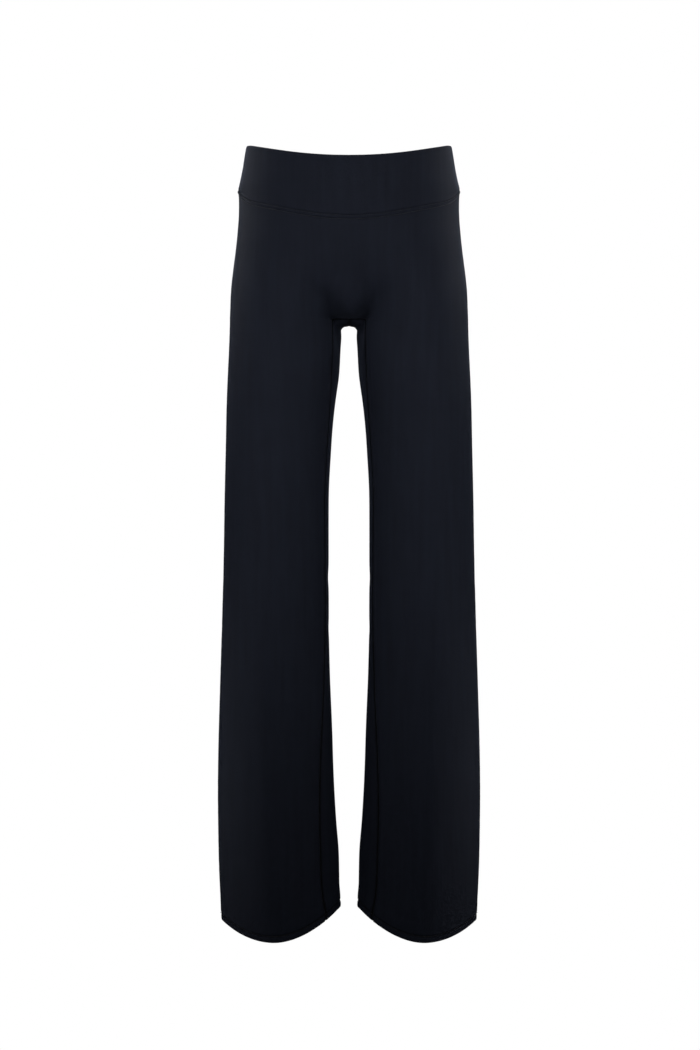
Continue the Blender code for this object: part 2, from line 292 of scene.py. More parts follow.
def cut(
    curve: np.ndarray, start: float, end: float, first: tuple[float, ...],
    last: tuple[float, ...], count: int,
) -> np.ndarray:
    """Split a dense curve between two of its points at spaced() places.

    Args:
        curve: dense points.
        start: fractional index of the first point.
        end: fractional index of the last point.
        first: distances from the start that get a point.
        last: distances from the end that get a point.
        count: even spaces between them.
    Returns:
        The points.
    """
    length = length_along(curve)
    ends = np.interp([start, end], np.arange(len(curve)), length)
    return points_along(curve, length, ends[0] + spaced(ends[1] - ends[0], first, last, count))


def place_of(values: np.ndarray, target: float) -> float:
    """Where a rising run of values first passes a target, as a fractional index."""
    return float(np.interp(target, np.maximum.accumulate(values), np.arange(len(values))))


# ---------------------------------------------------------------- the cut of the trousers


@dataclass
class TrouserBlock:
    """Named sizes of the trousers, and the rows of points that they give."""

    levels: dict[str, dict[str, float]] = field(default_factory=lambda: {
        "edge": {"side": 0.0, "front": -20.4, "back": -6.0},  # the waist
        "seam": {"side": -58.0, "front": -97.0, "back": -78.0},  # under the waistband
    })
    drop: Table = Table(
        (0, 10, 20, 30, 40, 50, 60, 70, 80, 90),
        {
            "edge": (1.0, 0.97, 0.883, 0.75, 0.587, 0.42, 0.265, 0.135, 0.06, 0.13),
            "seam": (1.0, 0.963, 0.875, 0.765, 0.655, 0.55, 0.45, 0.30, 0.12, 0.0),
        },
    )
    outer: Table = Table(
        (0, -13, -35, -50, -60, -68, -80, -93, -114, -138, -164, -191, -218, -244, -271, -305,
         -338, -405, -473, -541, -609, -678, -746, -815, -885, -954, -1000, -1051),
        {
            "x": (136.3, 138.6, 142.3, 145.6, 147.7, 146.9, 146.6, 146.9, 148.5, 150.8, 154.1,
                  157.4, 159.2, 159.8, 160.9, 162.7, 164.2, 166.0, 167.9, 169.3, 171.3, 173.7,
                  176.2, 178.5, 179.7, 179.5, 178.4, 176.1),
        },
    )
    inner: Table = Table(
        (-244, -258, -271, -305, -338, -372, -405, -473, -541, -643, -712, -781, -850, -885,
         -920, -954, -1000, -1033),
        {
            "x": (10.3, 11.3, 11.8, 13.6, 17.8, 21.7, 24.0, 27.3, 27.5, 27.3, 25.9, 23.1, 20.9,
                  19.2, 16.9, 14.1, 13.1, 11.3),
        },
    )
    inner_seam: Table = Table(
        (-231, -284, -337, -416, -470, -604, -739, -834, -890, -957, -1000, -1033),
        {"x": (21.5, 22.3, 25.0, 30.3, 32.6, 32.0, 34.7, 38.9, 39.8, 38.3, 36.5, 31.5)},
    )
    body: Table = Table(
        (0, -30, -60, -100, -140, -175, -205, -231),
        {
            "front": (-95, -98, -100, -102, -102, -101, -100, -99),
            "back": (95, 99, 105, 115, 123, 126, 125, 121),
            "square": (2.0, 2.03, 2.08, 2.15, 2.2, 2.2, 2.15, 2.1),
            "front_dip": (0, 0, 0, 0, 1, 4, 9, 16),
            "back_dip": (0, 0, 1, 3, 6, 10, 16, 26),
            "strip": (40, 38, 36, 33, 30, 27, 24, 21.5),
        },
    )
    leg: Table = Table(
        (-200, -260, -300, -380, -460, -540, -600, -680, -760, -860, -960, -1042),
        {
            "front": (-97, -95, -93, -88, -82, -76, -72, -68, -64, -61, -59, -59),
            "back": (119, 109, 101, 90, 80, 71, 67, 69, 71, 66, 61, 58),
            "crease": (0, 0, 0, 0.02, 0.05, 0.1, 0.15, 0.25, 0.4, 0.62, 0.88, 1.0),
        },
    )
    arch: Table = Table(
        (0.0, 1 / 3, 2 / 3, 1.0),
        {"across": (0.0, 0.42, 0.81, 1.0), "drop": (0.0, 0.07, 0.34, 1.0)},
    )
    dip_width: float = 38.0
    crease_power: float = 1.9
    back_seam_arc: float = 45.0
    crotch_z: float = -231.0
    seam_rise: float = 1.0
    saddle_half_width: float = 10.6
    saddle_middle_z: float = -239.6
    saddle_edge_z: float = -245.5
    fair_top: float = -138.0
    fair_bottom: float = -335.0
    fair_reach: float = 34.0  # how far from a bend the cloth gives up its own section
    fair_held: float = 3.2 / 11  # share of each face, next to the side seam, that stays as drawn
    body_to_leg_start: float = -113.0
    # How far the middle turns under to reach the crotch, and how late it does
    turn_in: dict[str, float] = field(default_factory=lambda: {"front": 31.0, "back": -50.0})
    turn_power: dict[str, float] = field(default_factory=lambda: {"front": 3.2, "back": 2.2})
    turn_share: float = 0.3  # share of the side part that turns under late
    hem_z: float = -1042.0
    hem_tilt: float = 9.0
    hem_drop: float = 25.5
    hem_drop_power: float = 0.88
    hem_blend: float = 260.0
    # Rows and columns of the grid: close to edges and seams, where the relief is finest
    waist_rows: tuple[float, ...] = (1.2, 3.0, 7.0)
    over_seam_rows: tuple[float, ...] = (1.6, 3.6, 7.5)
    under_seam_rows: tuple[float, ...] = (1.4, 3.4, 5.6, 8.4, 14.0)
    crotch_rows: tuple[float, ...] = (4.5,)
    seam_columns: tuple[float, ...] = (3.0, 7.5, 14.0)
    middle_columns: tuple[float, ...] = (3.5,)
    strip_edge_columns: tuple[float, ...] = (4.0,)
    hem_rows: tuple[float, ...] = (36.0, 28.0, 24.0, 20.0, 15.0, 11.5, 9.0, 6.5, 3.4, 1.2, 0.0)
    leg_top_rows: tuple[float, ...] = (-231, -236, -243, -253, -268, -286, -308, -335)
    leg_step: float = 26.0
    band_count: int = 4
    body_count: int = 8
    side_count: int = 9
    strip_count: int = 2
    inside_count: int = 3
    body_samples: int = 721
    leg_samples: int = 1441

    @property
    def side_columns(self) -> int:
        """Columns from the inner panel's seam to the side seam, on one face."""
        return self.side_count + 2 * len(self.seam_columns)

    @property
    def strip_columns(self) -> int:
        """Columns from the middle to the inner panel's seam."""
        return self.strip_count + len(self.middle_columns) + len(self.strip_edge_columns)

    @property
    def inside_columns(self) -> int:
        """Columns from the inner panel's seam to the middle of the inner leg."""
        return self.inside_count + len(self.seam_columns)

    @property
    def band_rows(self) -> int:
        """Rows of quads in the waistband."""
        return self.band_count + len(self.waist_rows) + len(self.over_seam_rows)

    @property
    def body_rows(self) -> int:
        """Rows of quads from the waistband seam to the crotch."""
        return self.body_count + len(self.under_seam_rows) + len(self.crotch_rows)

    def line_height(self, line: str, angle: np.ndarray, face: str) -> np.ndarray:
        """Height of the waist edge or the waistband seam at angles from a face's middle."""
        level = self.levels[line]
        return level["side"] + (level[face] - level["side"]) * self.drop.read(line, angle)

    def row_heights(self, angle: np.ndarray, face: str) -> np.ndarray:
        """Heights of every row from the waist to the crotch.

        Args:
            angle: degrees from the front or back middle.
            face: front or back.
        Returns:
            One row of heights for each row of the grid.
        """
        edge = self.line_height("edge", angle, face)
        seam = self.line_height("seam", angle, face)
        band = edge - spaced(edge - seam, self.waist_rows, self.over_seam_rows, self.band_count)
        body = seam - spaced(
            seam - self.crotch_z, self.under_seam_rows, self.crotch_rows, self.body_count
        )
        return np.concatenate([band, body[1:]])

    def body_face(self, z: np.ndarray, face: str) -> tuple[np.ndarray, np.ndarray]:
        """One quarter of a body row, from the middle to the side.

        Args:
            z: its heights at even angles.
            face: front or back.
        Returns:
            The middle strip's points and the side part's.
        """
        turn = np.radians(np.linspace(0.0, 90.0, len(z)))
        power = 2.0 / self.body.read("square", z)
        x = self.outer.read("x", z) * np.sin(turn) ** power
        depth = self.body.read(face, z)
        y = depth * np.cos(turn) ** power
        dip = self.body.read(face + "_dip", z) * np.exp(-((x / self.dip_width) ** 2))
        curve = np.stack([x, y - np.sign(depth) * dip, z], axis=1)
        split = place_of(x, float(self.body.read("strip", z[0])))
        near = self.seam_columns
        strip = cut(
            curve, 0.0, split, self.middle_columns, self.strip_edge_columns, self.strip_count
        )
        return strip, cut(curve, split, len(z) - 1.0, near, near, self.side_count)

    def leg_face(self, level: float, face: str) -> tuple[np.ndarray, np.ndarray]:
        """Half of a leg row, from the inner edge to the outer edge.

        Args:
            level: its height before the hem's tilt and drop.
            face: front or back.
        Returns:
            The inner panel's points and the side part's.
        """
        angle = np.radians(np.linspace(0.0, 180.0, self.leg_samples))
        u = -np.cos(angle)
        near_hem = float(ease((self.hem_z + self.hem_blend - level) / self.hem_blend))
        inner_x = float(self.inner.read("x", level + self.hem_tilt * near_hem))
        outer_x = float(self.outer.read("x", level - self.hem_tilt * near_hem))
        crease = float(self.leg.read("crease", level))
        creased = 1.0 - np.abs(u) ** self.crease_power
        bulge = (1.0 - crease) * np.sin(angle) + crease * creased
        x = (inner_x + outer_x) / 2 + (outer_x - inner_x) / 2 * u
        y = float(self.leg.read(face, level)) * bulge
        z = level - near_hem * self.hem_tilt * u
        if face == "front":
            z = z - near_hem * self.hem_drop * bulge**self.hem_drop_power
        curve = np.stack([x, y, z], axis=1)
        if face == "front":
            split = place_of(x, float(self.inner_seam.read("x", level)))
        else:
            split = place_of(length_along(curve), self.back_seam_arc)
        near = self.seam_columns
        inside = cut(curve, 0.0, split, (), near, self.inside_count)
        return inside, cut(curve, split, self.leg_samples - 1.0, near, near, self.side_count)

    def leg_levels(self) -> np.ndarray:
        """Work out the heights of the leg rows, closest at the crotch and the hem.

        Returns:
            One height for each row, before the hem's tilt and drop.
        """
        hem = [self.hem_z + up for up in self.hem_rows]
        top = self.leg_top_rows[-1]
        count = int(round((top - hem[0]) / self.leg_step))
        middle = np.linspace(top, hem[0], count + 1)[1:-1]
        return np.array([*self.leg_top_rows, *middle, *hem])


# ---------------------------------------------------------------- the grid


class Cage:
    """The outer face of the trousers as shared points, labelled quads and flat cloth places."""

    grain_line: float = 100.0  # how far out the straight grain of each panel runs
    inner_half_width: float = 45.0  # flat cloth of an inner panel, to each side of its middle
    saddle_power: float = 1.8

    def __init__(self, block: TrouserBlock) -> None:
        """Lay out every grid from the block's rows.

        Args:
            block: the sizes.
        """
        self.block = block
        self.points: list[np.ndarray] = []
        self.quads: list[np.ndarray] = []
        self.labels: list[str] = []
        self.flats: list[np.ndarray] = []
        self.side: dict[str, np.ndarray] = {}
        self.inside: dict[str, np.ndarray] = {}
        self.strips: dict[str, np.ndarray] = {}
        self.rows = self._half_rows()
        self._lay_rows()
        self._lay_patch()
        self._lay_quads()
        self.placed = self._fair()

    def _add_rows(self, rows: list[np.ndarray]) -> np.ndarray:
        """Add a grid of points.

        Args:
            rows: its rows.
        Returns:
            Indices of the points, in the same grid.
        """
        start = len(self.points)
        for row in rows:
            self.points.extend(row)
        return np.arange(start, len(self.points)).reshape(len(rows), -1)

    def _half_rows(self) -> dict[str, list[np.ndarray]]:
        """Work out the rows of one half.

        Returns:
            Rows of the strips, the side part and the inside of the leg.
        """
        block = self.block
        angle = np.linspace(0.0, 90.0, block.body_samples)
        rows: dict[str, list[np.ndarray]] = {"front": [], "back": [], "side": [], "inside": []}
        heights = {face: block.row_heights(angle, face) for face in ("front", "back")}
        top, low = block.body_to_leg_start, block.crotch_z
        for r in range(len(heights["front"])):
            parts = {}
            for face in ("front", "back"):
                strip, side = block.body_face(heights[face][r], face)
                level = side[:, 2].mean()
                part = float(ease((level - top) / (low - top)))
                if r > block.band_rows and part > 0:
                    part = 1.0 if r == len(heights[face]) - 1 else part
                    leg = block.leg_face(level, face)[1]
                    leg[:, 2] = side[:, 2]
                    turned = max(0.0, (block.fair_top - level) / (block.fair_top - low))
                    late = turned ** block.turn_power[face]
                    outward = ease(np.linspace(0, 1, len(side)) / block.turn_share)
                    mix = np.full((len(side), 3), part)
                    mix[:, 1] = part * outward + late * (1 - outward)
                    side = side * (1 - mix) + leg * mix
                    share = np.linspace(0, 1, len(strip))[:, None]
                    under = np.array([0.0, block.turn_in[face] * late, 0.0])
                    strip = strip + share * (side[0] - strip[-1]) + (1 - share) * under
                parts[face] = (strip, side)
            rows["front"].append(parts["front"][0])
            rows["back"].append(parts["back"][0])
            rows["side"].append(np.concatenate([parts["front"][1], parts["back"][1][::-1][1:]]))
        for number, level in enumerate(block.leg_levels()):
            front_inside, front_side = block.leg_face(level, "front")
            back_inside, back_side = block.leg_face(level, "back")
            if number > 0:
                rows["side"].append(np.concatenate([front_side, back_side[::-1][1:]]))
            inside = np.concatenate([front_inside[::-1], back_inside[1:]])
            near = ease((level - block.fair_bottom) / (low - block.fair_bottom))
            sunk = (block.saddle_edge_z - low) * near
            inside[:, 2] += sunk * (1.0 - self._across(inside) ** 2)
            rows["inside"].append(inside)
        return rows

    def _across(self, row: np.ndarray) -> np.ndarray:
        """Place the points of an inner row between its middle and its two seams.

        Args:
            row: the points, from the front seam to the back one.
        Returns:
            Shares of the way from the middle, from -1 at the front seam to 1 at the back one.
        """
        length = length_along(row)
        length -= length[self.block.inside_columns]
        return np.where(length < 0, length / -length[0], length / length[-1])

    def _lay_rows(self) -> None:
        """Add the points of both halves, the middle strips and the inner legs."""
        block, rows = self.block, self.rows
        for half, sign in HALVES:
            self.side[half] = self._add_rows([row * [sign, 1, 1] for row in rows["side"]])
        count = block.strip_columns
        for face, edge in (("front", 0), ("back", -1)):
            lines = [line[:-1] for line in rows[face]]
            left = self._add_rows(lines)
            right = self._add_rows([line[1:] * [-1, 1, 1] for line in lines])
            body = len(lines)
            grid = np.zeros((body, 2 * count + 1), int)
            grid[:, count : 2 * count] = left
            grid[:, 1:count] = right[:, ::-1]
            grid[:, -1] = self.side["left"][:body, edge]
            grid[:, 0] = self.side["right"][:body, edge]
            self.strips[face] = grid
        crotch = block.band_rows + block.body_rows
        for half, sign in HALVES:
            middle = self._add_rows([row[1:-1] * [sign, 1, 1] for row in rows["inside"]])
            first = self.side[half][crotch:, :1]
            last = self.side[half][crotch:, -1:]
            self.inside[half] = np.concatenate([first, middle, last], axis=1)

    def _lay_patch(self) -> None:
        """Place the crotch: low and narrow at mid depth, rising and widening to its two seams."""
        block = self.block
        width, count = 2 * block.inside_columns + 1, block.strip_columns
        patch = np.zeros((width, 2 * count + 1), int)
        patch[0] = self.strips["front"][-1]
        patch[-1] = self.strips["back"][-1]
        patch[:, -1] = self.inside["left"][0]
        patch[:, 0] = self.inside["right"][0]
        blank = [np.zeros((2 * count - 1, 3)) for _ in range(width - 2)]
        patch[1:-1, 1:-1] = self._add_rows(blank)
        line = length_along(self.rows["front"][-1])
        column = np.arange(-count, count + 1)
        away = (line / line[-1])[np.abs(column)]
        v = self._across(self.rows["inside"][0])[:, None]
        end = np.where(v > 0, self.points[patch[-1, -1]], self.points[patch[0, -1]])
        rim = block.crotch_z + block.seam_rise
        half_width = block.saddle_half_width + (end[:, :1] - block.saddle_half_width) * v * v
        middle_z = block.saddle_middle_z + (rim - block.saddle_middle_z) * v * v
        drop = (block.crotch_z - block.saddle_edge_z) * np.abs(v) ** self.saddle_power
        x = np.sign(column) * half_width * block.arch.read("across", away)
        y = end[:, 1:2] * np.abs(v) + np.zeros(len(column))
        z = middle_z + (block.saddle_edge_z + drop - middle_z) * block.arch.read("drop", away)
        for index, place in zip(patch.ravel(), np.stack([x, y, z], axis=2).reshape(-1, 3)):
            self.points[index] = place
        self.patch = patch

    @staticmethod
    def _corners(values: np.ndarray, flip: bool) -> np.ndarray:
        """Pick the values at the corners of every quad of a grid.

        Args:
            values: one value or row of values at each of the grid's points.
            flip: whether the quads are gone round the other way.
        Returns:
            Four values for each quad, in order round it.
        """
        corners = [values[:-1, :-1], values[1:, :-1], values[1:, 1:], values[:-1, 1:]]
        found = np.stack(corners[::-1] if flip else corners, axis=2)
        return found.reshape(-1, *found.shape[2:])

    def _cover(
        self, grid: np.ndarray, across: np.ndarray, along: np.ndarray, label: str,
        flip: bool, banded: str = "",
    ) -> None:
        """Put quads over a grid.

        Args:
            grid: numbers of its points.
            across: place of each across the flat cloth.
            along: its place along the cloth.
            label: the sewn piece.
            flip: whether the grid faces the other way.
            banded: the sewn piece above the waistband seam, where the grid reaches over it.
        """
        rows, columns = grid.shape[0] - 1, grid.shape[1] - 1
        band = self.block.band_rows if banded else 0
        self.quads.append(self._corners(grid, flip))
        self.flats.append(self._corners(np.stack([across, along], axis=2), flip))
        self.labels += [banded] * (band * columns) + [label] * ((rows - band) * columns)

    def _grain(self, row: np.ndarray) -> np.ndarray:
        """Distance along the cloth from the middle to each point, true at the grain line."""
        length = length_along(row)
        return length - np.interp(self.grain_line, row[:, 0], length) + self.grain_line

    def _lay_quads(self) -> None:
        """Cover the grids with quads facing out, each labelled with its sewn piece."""
        columns, count = self.block.side_columns, self.block.strip_columns
        rows, inside = self.rows["side"], self.rows["inside"]
        front = np.array([self._grain(row[: columns + 1]) for row in rows])
        back = np.array([self._grain(row[columns:][::-1])[::-1] for row in rows])
        height = np.array([row[:, 2] for row in rows])
        inner = np.array([self._across(row) for row in inside]) * self.inner_half_width
        inner_height = np.array([row[:, 2] for row in inside])
        share = np.arange(count + 1) / count
        strip_height = {face: np.array(self.rows[face])[:, :, 2] for face in ("front", "back")}
        body = len(strip_height["front"])
        points = np.array(self.points)
        saddle = points[self.patch[:, -1]] - points[self.patch[:, count]]
        rise = np.linalg.norm(saddle, axis=1)[:, None] * (1.0 - share)
        saddle_across = inner[0][:, None] + np.zeros(count + 1)
        for half, sign in HALVES:
            left = sign > 0
            panel, inner_panel = "back_panel_" + half, "inner_panel_" + half
            grid = self.side[half]
            ahead, behind = grid[:, : columns + 1], grid[:, columns:]
            self._cover(ahead, sign * front, height[:, : columns + 1], "front_panel",
                        not left, "waistband_front")
            self._cover(behind, sign * back, height[:, columns:], panel,
                        not left, "waistband_back")
            ahead, behind = (self.strips[f][:, count::sign] for f in ("front", "back"))
            self._cover(ahead, sign * front[:body, :1] * share, strip_height["front"],
                        "front_panel", not left, "waistband_front")
            self._cover(behind, sign * back[:body, -1:] * share, strip_height["back"],
                        panel, left, "waistband_back")
            self._cover(self.inside[half], inner, inner_height, inner_panel, left)
            self._cover(self.patch[:, count::sign], saddle_across,
                        inner_height[0][:, None] + rise, inner_panel, not left)

    def _fair(self) -> np.ndarray:
        """Bend the cloth smoothly between the body and the legs, with the outline held.

        Returns:
            Every point in its place.
        """
        block = self.block
        points = np.array(self.points)
        quads = np.concatenate(self.quads)
        free = (points[:, 2] < block.fair_top) & (points[:, 2] > block.fair_bottom)
        for half in ("left", "right"):
            grid = points[self.side[half]]
            step = np.linalg.norm(np.diff(grid, axis=1), axis=2)
            run = np.cumsum(np.pad(step, ((0, 0), (1, 0))), axis=1)
            middle = run[:, block.side_columns][:, None]
            front = (middle - run) / middle
            behind = (run - middle) / (run[:, -1:] - middle)
            held = np.where(run < middle, front, behind) < block.fair_held
            free[self.side[half][held]] = False
            for column in (0, block.inside_columns, -1):
                free[self.inside[half][:, column]] = False
        free[self.patch.ravel()] = False
        matrix, share = self._bending(points, quads, free)
        moving = np.flatnonzero(free)
        rows = np.flatnonzero(np.abs(matrix[:, moving]).sum(axis=1) > 0)
        part = matrix[rows]
        held = np.setdiff1d(np.flatnonzero(np.abs(part).sum(axis=0) > 0), moving)
        right = -part[:, held] @ points[held]
        pull = share[moving] / block.fair_reach**4
        normal = part[:, moving].T @ part[:, moving] + np.diag(pull)
        wanted = part[:, moving].T @ right + pull[:, None] * points[moving]
        points[moving] = np.linalg.solve(normal, wanted)
        points[:, 0][np.abs(points[:, 0]) < 1e-6] = 0.0
        return points

    @staticmethod
    def _bending(
        points: np.ndarray, quads: np.ndarray, free: np.ndarray
    ) -> tuple[np.ndarray, np.ndarray]:
        """Make the matrix of the cloth's bending at each point, which doesn't depend on the grid.

        Args:
            points: the points.
            quads: the quads.
            free: which points may move.
        Returns:
            A square matrix, its rows scaled by the cloth that each point stands for, and the
            area of that cloth.
        """
        near = free.copy()
        for _ in range(2):
            near[quads[near[quads].any(axis=1)].ravel()] = True
        faces = quads[near[quads].any(axis=1)]
        corner = points[faces]
        cross = np.cross(corner[:, 2] - corner[:, 0], corner[:, 3] - corner[:, 1])
        area = np.linalg.norm(cross, axis=1) / 2
        matrix = np.zeros((len(points), len(points)), np.float64)
        share = np.zeros(len(points))
        for k in range(4):
            a, b = faces[:, k], faces[:, (k + 1) % 4]
            weight = area / 2 / np.maximum(((points[a] - points[b]) ** 2).sum(axis=1), 1e-6)
            np.add.at(matrix, (a, b), weight)
            np.add.at(matrix, (b, a), weight)
            np.add.at(share, a, area / 4)
        matrix[np.arange(len(points)), np.arange(len(points))] = -matrix.sum(axis=1)
        return matrix / np.sqrt(np.maximum(share, 1e-9))[:, None], share

    def ring(self, row: int) -> np.ndarray:
        """Follow a body row once round, from the right side of the front middle.

        Args:
            row: number of the row, from the waist.
        Returns:
            Numbers of its points.
        """
        front, back = self.strips["front"][row], self.strips["back"][row][::-1]
        left, right = self.side["left"][row], self.side["right"][row][::-1]
        return np.concatenate([front, left[1:], back[1:], right[1:]])

    def leg_ring(self, half: str, row: int) -> np.ndarray:
        """Points of a leg row, counted from the hem, once round from the front seam."""
        return np.concatenate([self.side[half][row], self.inside[half][row][::-1][1:]])


# ---------------------------------------------------------------- the smooth skin


class Skin:
    """The grid subdivided into smooth cloth that still passes through the grid's points."""

    levels: int = 2
    corrections: int = 5  # rounds of moving the grid so that the smooth cloth meets its points

    def __init__(self, cage: Cage) -> None:
        """Subdivide the grid.

        Args:
            cage: the grid.
        """
        self.labels = np.array(cage.labels)
        self.flats = np.concatenate(cage.flats)
        self.steps: list[tuple[np.ndarray, np.ndarray, np.ndarray, int]] = []
        quads, count = np.concatenate(cage.quads), len(cage.placed)
        for _ in range(self.levels):
            edges, sides = edges_of(quads)
            self.steps.append((quads, edges, sides, count))
            middle = count + len(edges) + np.arange(len(quads))
            flats = self.flats
            after = (flats + np.roll(flats, -1, axis=1)) / 2
            centre = flats.mean(axis=1, keepdims=True)
            children, places = [], []
            for k in range(4):
                before = (k - 1) % 4
                child = [quads[:, k], count + sides[:, k], middle, count + sides[:, before]]
                children.append(np.stack(child, axis=1))
                spots = [flats[:, k], after[:, k], centre[:, 0], after[:, before]]
                places.append(np.stack(spots, axis=1))
            self.labels = np.tile(self.labels, 4)
            self.flats = np.concatenate(places)
            count = count + len(edges) + len(quads)
            quads = np.concatenate(children)
        self.quads = quads
        target = held = cage.placed
        for _ in range(self.corrections):
            held = held + target - self._refine(held)[: len(target)]
        self.points = self._refine(held)

    def _refine(self, points: np.ndarray) -> np.ndarray:
        """Subdivide positions once for each level, by Catmull and Clark's rules.

        Args:
            points: positions of the grid's points.
        Returns:
            Positions of the fine points, the grid's own first.
        """
        for quads, edges, sides, count in self.steps:
            flat, corners, both = sides.ravel(), quads.ravel(), edges.ravel()
            middles = points[quads].mean(axis=1)
            halves = points[edges].mean(axis=1)
            spread = np.repeat(middles, 4, axis=0)
            faces_at = np.bincount(flat, minlength=len(edges))
            inner = (faces_at == 2)[:, None]
            smoothed = (2 * halves + sums_at(flat, spread, len(edges))) / 4
            edge_points = np.where(inner, smoothed, halves)
            valence = np.bincount(corners, minlength=count)[:, None]
            spokes = np.bincount(both, minlength=count)[:, None]
            round_faces = sums_at(corners, spread, count) / valence
            round_edges = sums_at(both, np.repeat(halves, 2, axis=0), count) / spokes
            moved = (round_faces + 2 * round_edges + (valence - 3) * points) / valence
            rim = faces_at == 1
            ends = edges[rim].ravel()
            rim_sum = sums_at(ends, np.repeat(halves[rim], 2, axis=0), count)
            moved[ends] = points[ends] / 2 + rim_sum[ends] / 4
            points = np.concatenate([moved, edge_points, middles])
        return points

    def trace(self, line: np.ndarray) -> np.ndarray:
        """Follow a line of the grid's points on the fine skin.

        Args:
            line: neighbouring points of the grid, in order.
        Returns:
            Every fine point on it, in order.
        """
        for _, edges, _, count in self.steps:
            low, high = np.sort([line[:-1], line[1:]], axis=0)
            found = np.searchsorted(edges @ [count, 1], low * count + high)
            finer = np.empty(2 * len(line) - 1, int)
            finer[::2], finer[1::2] = line, count + found
            line = finer
        return line

    def normals(self) -> np.ndarray:
        """Unit normals of the fine points."""
        return normals_of(self.points, self.quads)

    def edges_between(self) -> dict[Seam, np.ndarray]:
        """Sort the fine edges that separate sewn pieces, or that are free, by kind of seam.

        Returns:
            The two ends of each edge.
        """
        names, code = np.unique(self.labels, return_inverse=True)
        edges, sides = edges_of(self.quads)
        owner = np.repeat(code, 4)
        low = np.full(len(edges), len(names))
        high = np.full(len(edges), -1)
        np.minimum.at(low, sides.ravel(), owner)
        np.maximum.at(high, sides.ravel(), owner)
        free = np.bincount(sides.ravel()) == 1
        banded = np.array(["waistband" in name for name in names])
        seam = (low != high) & ~free
        to_band = seam & (banded[low] != banded[high])
        upper = self.points[edges, 2].mean(axis=1) > self.points[:, 2].mean()
        return {
            Seam.BAND: edges[to_band],
            Seam.PLAIN: edges[seam & ~to_band],
            Seam.WAIST: edges[free & upper],
            Seam.HEM: edges[free & ~upper],
        }


# ---------------------------------------------------------------- relief


@dataclass(frozen=True)
class Fold:
    """A soft trough or ridge along a bowed line on one face of the cloth."""

    face: Face
    start: tuple[float, float]  # across and height
    end: tuple[float, float]
    width: float
    depth: float  # above 0 stands proud
    bow: float = 0.0  # how far the middle of the line is pushed aside
    rise: float = 0.35  # share of the line over which it sets in
    fall: float = 0.4  # share over which it dies away
    overrun: float = 0.3  # share by which it may run on past its ends
    wander: float = 0.12  # how far the line strays, as a share of the width

    def heights(self, points: np.ndarray, normals: np.ndarray) -> np.ndarray:
        """How far the fold moves each point along its normal.

        Args:
            points: places on the cloth.
            normals: their unit normals.
        Returns:
            Heights in millimetres.
        """
        sideways = self.face in (Face.LEFT, Face.RIGHT)
        across = points[:, 1] if sideways else points[:, 0]
        facing = {
            Face.FRONT: -normals[:, 1],
            Face.BACK: normals[:, 1],
            Face.LEFT: normals[:, 0],
            Face.RIGHT: -normals[:, 0],
        }[self.face]
        start, end = np.array(self.start), np.array(self.end)
        length = np.linalg.norm(end - start)
        way = (end - start) / length
        place = np.stack([across, points[:, 2]], axis=1) - start
        share = place @ way / length
        offset = place @ np.array([-way[1], way[0]])
        offset = offset - self.bow * 4 * share * (1 - share)
        offset = offset - self.wander * self.width * np.sin(share * 9.0 + self.start[1])
        body = bell(offset, self.width / 2)
        taper = ease(share / self.rise + 0.15) * ease((1.0 - share) / self.fall + 0.15)
        reach = np.abs(share - 0.5) < 0.5 + self.overrun
        return self.depth * body * taper * reach * ease(facing / 0.5 + 0.1)


@dataclass(frozen=True)
class Bead:
    """A raised, sunk or shaded line that runs beside a seam or an edge."""

    seam: Seam
    place: float  # distance from the seam
    width: float
    height: float = 0.0  # below 0 is sunk
    shade: float = 0.0  # how dark its thread and shadow make it
    below_band: bool = False  # on the cloth under the waistband alone
    clear: bool = False  # stops at the waistband
    ripple: float = 0.0  # wavelength, where its height is uneven
    seed: float = 0.0


